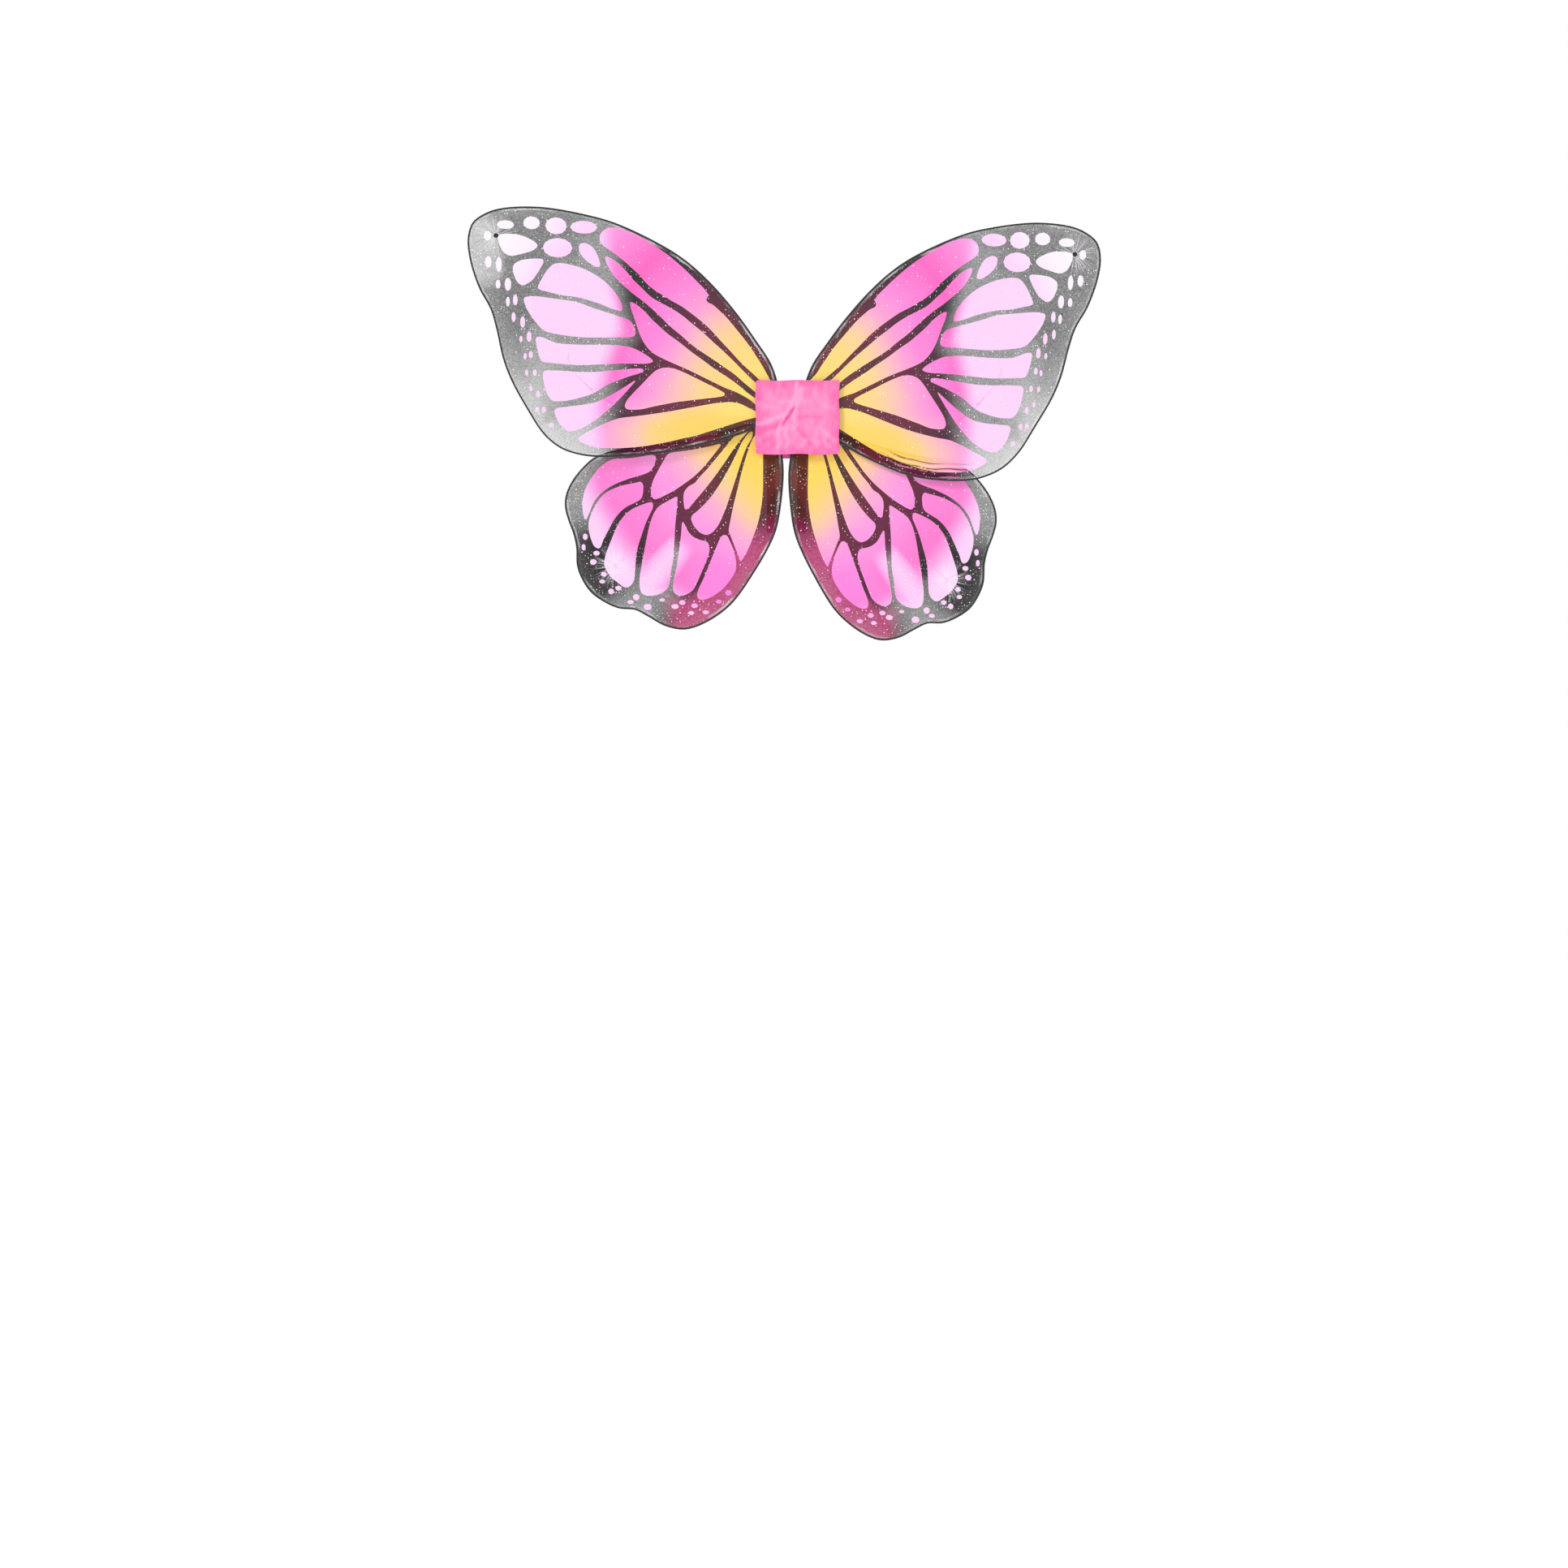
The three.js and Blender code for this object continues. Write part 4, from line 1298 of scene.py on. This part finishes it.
def sheet_grid(width, height, corner, step):
    """A grid that fills a rounded rectangle about the origin, and its quads."""
    columns, rows = round(width / step), round(height / step)
    u, v = np.meshgrid(np.linspace(-1, 1, columns + 1), np.linspace(-1, 1, rows + 1))
    x, z = u.ravel() * width / 2, v.ravel() * height / 2
    over_x, over_z = np.abs(x) - (width / 2 - corner), np.abs(z) - (height / 2 - corner)
    in_corner = (over_x > 0) & (over_z > 0)
    reach = np.hypot(over_x, over_z)
    square = np.maximum(over_x, over_z)
    pull = np.where(in_corner & (reach > 0), square / np.maximum(reach, 1e-9), 1)
    x = np.where(in_corner, np.sign(x) * (width / 2 - corner + over_x * pull), x)
    z = np.where(in_corner, np.sign(z) * (height / 2 - corner + over_z * pull), z)
    wide = columns + 1
    quads = [
        (j * wide + i, j * wide + i + 1, (j + 1) * wide + i + 1, (j + 1) * wide + i)
        for j in range(rows)
        for i in range(columns)
    ]
    border = list(range(columns)) + [j * wide + columns for j in range(rows)]
    border += [rows * wide + i for i in range(columns, 0, -1)] + [j * wide for j in range(rows, 0, -1)]
    return np.stack([x, z], axis=1), quads, border


def closed_sheet(flat, quads, border, outer_y, inner_y):
    """Two faces of a sheet and the wall round its border."""
    count = len(flat)
    outer = np.stack([flat[:, 0], outer_y, flat[:, 1]], axis=1)
    inner = np.stack([flat[:, 0], inner_y, flat[:, 1]], axis=1)
    faces = [*quads, *[tuple(v + count for v in reversed(quad)) for quad in quads]]
    ring = border + border[:1]
    faces += [(b, a, a + count, b + count) for a, b in zip(ring[:-1], ring[1:])]
    return np.vstack([outer, inner]), faces


def gap_to_edge(flat, width, height):
    return np.minimum(width / 2 - np.abs(flat[:, 0]), height / 2 - np.abs(flat[:, 1]))


def unevenness(flat, scale_x, scale_z, seed):
    """Smooth noise over a flat sheet."""
    return np.array([noise.noise(Vector((x * scale_x, z * scale_z, seed))) for x, z in flat])


print("creases:", len(CREASES))

# %% The puckered patch
PATCH_CORNER = 2.2
SOFT_CUT = 0.4

flat, quads, border = sheet_grid(PATCH_W, PATCH_H, PATCH_CORNER, PATCH_STEP)
centred = flat + (PATCH_X, PATCH_Z)
edge_gap = gap_to_edge(flat, PATCH_W, PATCH_H)
lift = np.zeros(len(flat))
for line, height, width in CREASES:
    lift += height * np.exp(-((to_line(centred, numbers(line)) / width) ** 2))
slow = 0.9 * unevenness(flat, 0.05, 0.06, 2)
lift += slow + 0.45 * unevenness(flat, 0.21, 0.17, 7) + 0.7 * smoothstep(edge_gap, 0, 14)
curl = 0.5 * (1 - smoothstep(edge_gap, 0, 4)) * np.sin(0.16 * centred[:, 0] + 0.2 * centred[:, 1])
outer_y = PATCH_Y - PATCH_T - np.maximum(lift, -0.5) - curl
wobble = np.stack([np.sin(0.19 * centred[:, 1] + 1), np.sin(0.15 * centred[:, 0])], axis=1)
flat = flat + wobble * 0.35 * (1 - smoothstep(edge_gap, 0, 5))[:, None]
points, faces = closed_sheet(flat + (PATCH_X, PATCH_Z), quads, border, outer_y, outer_y + PATCH_T)
# the creases' height, from which the plush paints shade in the hollows and highlight on the crests
stands_out = np.tile(lift - lift.mean() - slow, 2)
patch = new_piece("plush_patch", points, faces, [PATCH_PLUSH], None, points[:, [0, 2]], stands_out)
rounded = patch.modifiers.new("soft_cut", "BEVEL")
rounded.width, rounded.segments, rounded.limit_method = SOFT_CUT * MM, 2, "ANGLE"
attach(patch, "hub")
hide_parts("outer_patch")
print("patch:", len(points), "points, lift", lift.min().round(2), "to", lift.max().round(2), "mm")

# %% [markdown]
# ## The pad
# The pad keeps the wires off the wearer's back. It is a thin stuffed shape: two plush faces sewn
# together round the edge, so it is fullest in the middle, thin at its welt, and its sides pull in
# slightly between the corners. The face on the back stays nearly flat.

# %% Pad
PAD_W, PAD_H, PAD_T, PAD_CORNER, PAD_STEP = 55, 67, 3, 6, 1.1
WELT_R, WELT_SIDES = 0.8, 10
PULL_IN = (0.9, 1.1)
EDGE_ROUND = 7

filled = (PAD_W - 2 * WELT_R, PAD_H - 2 * WELT_R)
flat, quads, border = sheet_grid(*filled, PAD_CORNER, PAD_STEP)
share = flat / (PAD_W / 2, PAD_H / 2)
flat = flat - share * PULL_IN * (1 - share[:, ::-1] ** 2) * np.abs(share) ** 3
edge_gap = gap_to_edge(flat, *filled)
full = np.sqrt(1 - (1 - np.clip(edge_gap / EDGE_ROUND, 0, 1)) ** 2)
puckers = unevenness(flat, 0.12, 0.12, 3)
ease = 1 - smoothstep(edge_gap, 1, 9)
ruffle = 0.22 * ease * np.sin(1.3 * flat[:, 0]) * np.sin(1.3 * flat[:, 1])
back_y = -PAD_T / 2 + (PAD_T / 2 + 0.1) * full + 0.12 * puckers * full + ruffle
front_y = -PAD_T / 2 - (PAD_T / 2 - 0.1) * full + 0.1 * puckers * full + ruffle
front_y = np.minimum(front_y, back_y - 0.1)
points, faces = closed_sheet(flat, quads, border, front_y, back_y)
pad = new_piece("plush_pad", points, faces, [PAD_PLUSH], None, points[:, [0, 2]])
rim = flat[border]
welt_line = np.stack([rim[:, 0], np.full(len(rim), -PAD_T / 2), rim[:, 1]], axis=1)
welt_points, welt_faces = swept(welt_line, (0, 1, 0), circle(WELT_SIDES) * WELT_R, closed=True)
welt = new_piece("pad_welt", welt_points, welt_faces, [PAD_PLUSH], None, welt_points[:, [0, 2]])
for piece in (pad, welt):
    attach(piece, "hub")
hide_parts("inner_pad")
print("pad:", len(points), "points, thickest", round(float((back_y - front_y).max()), 2), "mm")

# %% [markdown]
# ## Binding and crimps
# Under the patch each loop's ends sit in a crimped metal sleeve. Cloth tape is wound round all
# four sleeves. One spiral strip gives the real look: each turn lies on the last, a little askew,
# and the free end shows. The sleeves are CAD solids of the right shape, so they only get metal.

# %% Tape and metal
BINDING_W, BINDING_Z, BINDING_H = 11, 1.5, 33.5
BINDING_IN_Y, BINDING_OUT_Y = -3.8, -13.5
TURNS, TAIL_TURN, TURN_STEPS = 3, 0.3, 90
TAPE_T = 0.34
OUTER_INSET, INSET_A_TURN = 1.35, 0.42
SQUARENESS = 7


def threads(finish, place, *scales):
    """Waves across and along a woven cloth."""
    return [
        finish.node("ShaderNodeTexWave", {"bands_direction": way}, {"Vector": place, "Scale": scale})
        for way, scale in zip("XY", scales)
    ]


def woven_tape():
    finish = Finish("cloth_tape", roughness=0.8)
    place = finish.flat_place()
    warp, weft = threads(finish, place, 0.55, 0.55)
    soil = finish.noise(place, 0.25, 3)
    weave = warp * 0.5 + weft * 0.5
    tone = (0.2 + 0.6 * weave + 0.5 * (soil - 0.5)).most(0).least(1)
    finish.wear({
        "Base Color": finish.mixed(tone, paint(205, 196, 186), paint(240, 235, 226)),
        "Normal": finish.bumps(weave, 0.00018, 0.6),
    })
    return finish.material


def crimped_metal():
    finish = Finish("crimped_zinc", metallic=1)
    place = finish.solid_place()
    scratch = finish.noise(finish.scaled(place, (900, 900, 180)), 1, 3, 0.6)
    finish.wear({
        "Base Color": finish.mixed(scratch, paint(150, 150, 156), paint(206, 206, 210)),
        "Roughness": 0.28 + 0.3 * scratch,
        "Normal": finish.bumps(scratch, 0.0001, 0.5),
    })
    return finish.material


half_y, middle_y = (BINDING_IN_Y - BINDING_OUT_Y) / 2, (BINDING_IN_Y + BINDING_OUT_Y) / 2
half_z = BINDING_H / 2
layers = []
for i in range(TURNS * TURN_STEPS + round(TURN_STEPS * TAIL_TURN)):
    angle = 2 * math.pi * i / TURN_STEPS
    inset = OUTER_INSET - INSET_A_TURN * i / TURN_STEPS
    c, s = math.cos(angle), math.sin(angle)
    stretch = (abs(c) ** SQUARENESS + abs(s) ** SQUARENESS) ** (-1 / SQUARENESS)
    layers.append((
        0.45 * math.sin(2.1 * i / TURN_STEPS + 1),
        middle_y + (half_y - inset) * c * stretch,
        BINDING_Z + (half_z - inset) * s * stretch,
    ))
layers = np.array(layers)
half = BINDING_W / 2 - 0.5
tape_section = np.array([
    (-TAPE_T / 2, -half), (-TAPE_T / 2, half), (TAPE_T / 2, half), (TAPE_T / 2, -half),
])
points, faces = swept(layers, (1, 0, 0), tape_section)
along = run_length(layers)
tape_map = np.stack([np.repeat(along, 4), np.tile(tape_section[:, 1], len(layers))], axis=1)
tape = new_piece("wound_tape", points, faces, [woven_tape()], None, tape_map, smooth=False)
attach(tape, "hub")
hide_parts("centre_binding")
metal = crimped_metal()
for name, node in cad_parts.items():
    if name.endswith("_crimp"):
        node.data.materials.clear()
        node.data.materials.append(metal)
print("tape:", round(along[-1]), "mm of tape in", TURNS, "turns")

# %% [markdown]
# ## Arm elastics
# Each arm goes through a loop of flat woven elastic. Its two ends are sewn to the pad's outer
# side. The elastic is one strip: up from its sewn end, over the pad's edge, down in a loose loop,
# and back. Its section has five soft cords, which are the rubber in the weave.

# %% Elastic
STRAP_W, STRAP_T, STRAP_X, TAIL_L = 8, 1.2, 14, 18
TAIL_Y = -3.9
STRAP_LINE = (
    "-3.9,33.8 -3.3,35.7 -0.5,36.7 8.06,34.3 18.6,20.28 26.66,-3.38 31,-37.85 31,-58.97 "
    "26.97,-85.16 17.05,-98 6.82,-90.3 0.93,-72.32 -0.6,-54.34 -1.6,-41.5 -3.9,-33.8"
)


def elastic_finish():
    finish = Finish("pink_elastic", roughness=0.75, sheen_weight=0.15)
    place = finish.flat_place()
    ribs, picks = threads(finish, place, 0.28, 0.42)
    shade = finish.noise(place, 0.3, 3)
    weave = (ribs * 0.6 + picks * 0.4 + 0.4 * (shade - 0.5)).most(0).least(1)
    finish.wear({
        "Base Color": finish.mixed(weave, paint(214, 60, 140), paint(250, 120, 184)),
        "Normal": finish.bumps(weave, 0.00025, 0.6),
    })
    return finish.material


def elastic_section():
    across = np.linspace(-1, 1, 21)
    edge = np.sqrt(np.clip(1 - across**8, 0, 1))
    cords = 0.84 + 0.16 * np.abs(np.cos(2.5 * np.pi * across))
    top = STRAP_T / 2 * edge * cords
    upper_side = np.stack([top, across * STRAP_W / 2], axis=1)
    lower_side = np.stack([-top[1:-1], across[1:-1] * STRAP_W / 2], axis=1)[::-1]
    return np.vstack([upper_side, lower_side])


ELASTIC = elastic_finish()
bow = smooth_curve(numbers(STRAP_LINE), 1.2, closed=False)
tail = np.stack([np.full(14, TAIL_Y), np.linspace(33.8 - TAIL_L, 32.6, 14)], axis=1)
whole = np.vstack([tail, bow, tail[::-1] * (1, -1)])
section = elastic_section()
along = run_length(whole)
for side, sign in (("left", -1), ("right", 1)):
    line = np.column_stack([np.full(len(whole), sign * STRAP_X), whole])
    points, faces = swept(line, (1, 0, 0), section)
    strap_map = np.stack([np.tile(section[:, 1], len(line)), np.repeat(along, len(section))], axis=1)
    strap = new_piece(f"{side}_woven_elastic", points, faces, [ELASTIC], None, strap_map)
    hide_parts(f"{side}_arm_elastic", f"{side}_elastic_top_tail", f"{side}_elastic_bottom_tail")
    start, end = ((sign * STRAP_X * MM, y * MM, 0) for y in (-3.2, 3.5))
    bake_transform(strap)
    print(side, "elastic:", round(along[-1]), "mm with its sewn ends,", len(points), "points")

# %% [markdown]
# ## Stitches
# Each sewn end is held by two bar tacks: a close zigzag of thread across the elastic. One thread
# is a bent line of short legs, so a tack is a single tube along that line.

# %% Bar tacks
THREAD_D, THREAD_SIDES = 0.35, 5
TACK_LEGS, TACK_HALF_H = 15, 1.1
TACK_HEIGHTS = (20, 29)


def thread_finish():
    finish = Finish("pink_thread", base_color=paint(252, 176, 212), roughness=0.5)
    place = finish.solid_place()
    twist = finish.noise(place, 3500, 2)
    finish.wear({"Normal": finish.bumps(twist, 0.00008, 0.6)})
    return finish.material


THREAD = thread_finish()
for side, sign in (("left", -1), ("right", 1)):
    for end, up in (("top", 1), ("bottom", -1)):
        points, faces = [], []
        for height in TACK_HEIGHTS:
            zigzag = np.array([
                (
                    sign * STRAP_X + (leg / (TACK_LEGS - 1) - 0.5) * (STRAP_W - 1.4),
                    TAIL_Y - STRAP_T / 2 - THREAD_D * 0.2,
                    up * (height + (TACK_HALF_H if leg % 2 else -TACK_HALF_H)),
                )
                for leg in range(TACK_LEGS)
            ])
            zigzag = smooth_curve(zigzag, 0.5, closed=False)
            tube, quads = swept(zigzag, (0, 1, 0), circle(THREAD_SIDES) * THREAD_D / 2)
            faces += [tuple(v + sum(map(len, points)) for v in quad) for quad in quads]
            points.append(tube)
        tacks = new_piece(f"{side}_elastic_{end}_tacks", np.vstack(points), faces, [THREAD])
        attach(tacks, "hub")
print("tacks:", 4 * len(TACK_HEIGHTS))

# %% [markdown]
# ## Light and floor
# A costume is shown on plain white with soft light from all round. The world gives most of the
# light; a large soft lamp at the upper left shapes the patch and glances off the film.

# %% Light, floor and world
FLOOR_Z, FLOOR_R = -1.04, 9
SEEN_LIGHT, CAST_LIGHT = 1.0, 0.5


def soft_lamp(name, place, size, power):
    data = bpy.data.lights.new(name, "AREA")
    data.shape, data.size, data.energy = "DISK", size, power
    lamp = bpy.data.objects.new(name, data)
    lamp.location = place
    lamp.rotation_euler = (-Vector(place)).to_track_quat("-Z", "Y").to_euler()
    bpy.context.scene.collection.objects.link(lamp)


LAMPS = {
    "key": ((-1.7, -1.7, 1.5), 0.9, 36),
    "fill": ((1.9, -2.0, 0.2), 1.6, 10),
    "wearer_side": ((0.6, 2.4, 1.2), 1.6, 26),
}
for name, lamp in LAMPS.items():
    soft_lamp(name, *lamp)

floor_finish = Finish("pale_floor", roughness=0.9, emission_strength=0.6)
floor_finish.wear({"Base Color": paint(246, 246, 247), "Emission Color": paint(255, 255, 255)})
bpy.ops.mesh.primitive_circle_add(
    vertices=96, radius=FLOOR_R, fill_type="NGON", location=(0, 0, FLOOR_Z)
)
floor = bpy.context.object
floor.name = "studio_floor"
floor.data.materials.append(floor_finish.material)

world = bpy.data.worlds.new("white_studio")
world.use_nodes = True
background = world.node_tree.nodes["Background"]
sky = Graph(world.node_tree)
seen = sky.node("ShaderNodeLightPath", {}, {}, "Is Camera Ray")
strength = {"Value": seen, "To Min": CAST_LIGHT, "To Max": SEEN_LIGHT}
sky.feed(background.inputs["Strength"], sky.node("ShaderNodeMapRange", {}, strength))
sky.feed(background.inputs["Color"], (1, 1, 1, 1))
bpy.context.scene.world = world
bpy.context.scene.view_settings.view_transform = "Standard"
print("lamps", len(bpy.data.lights), "floor at", FLOOR_Z, "m")
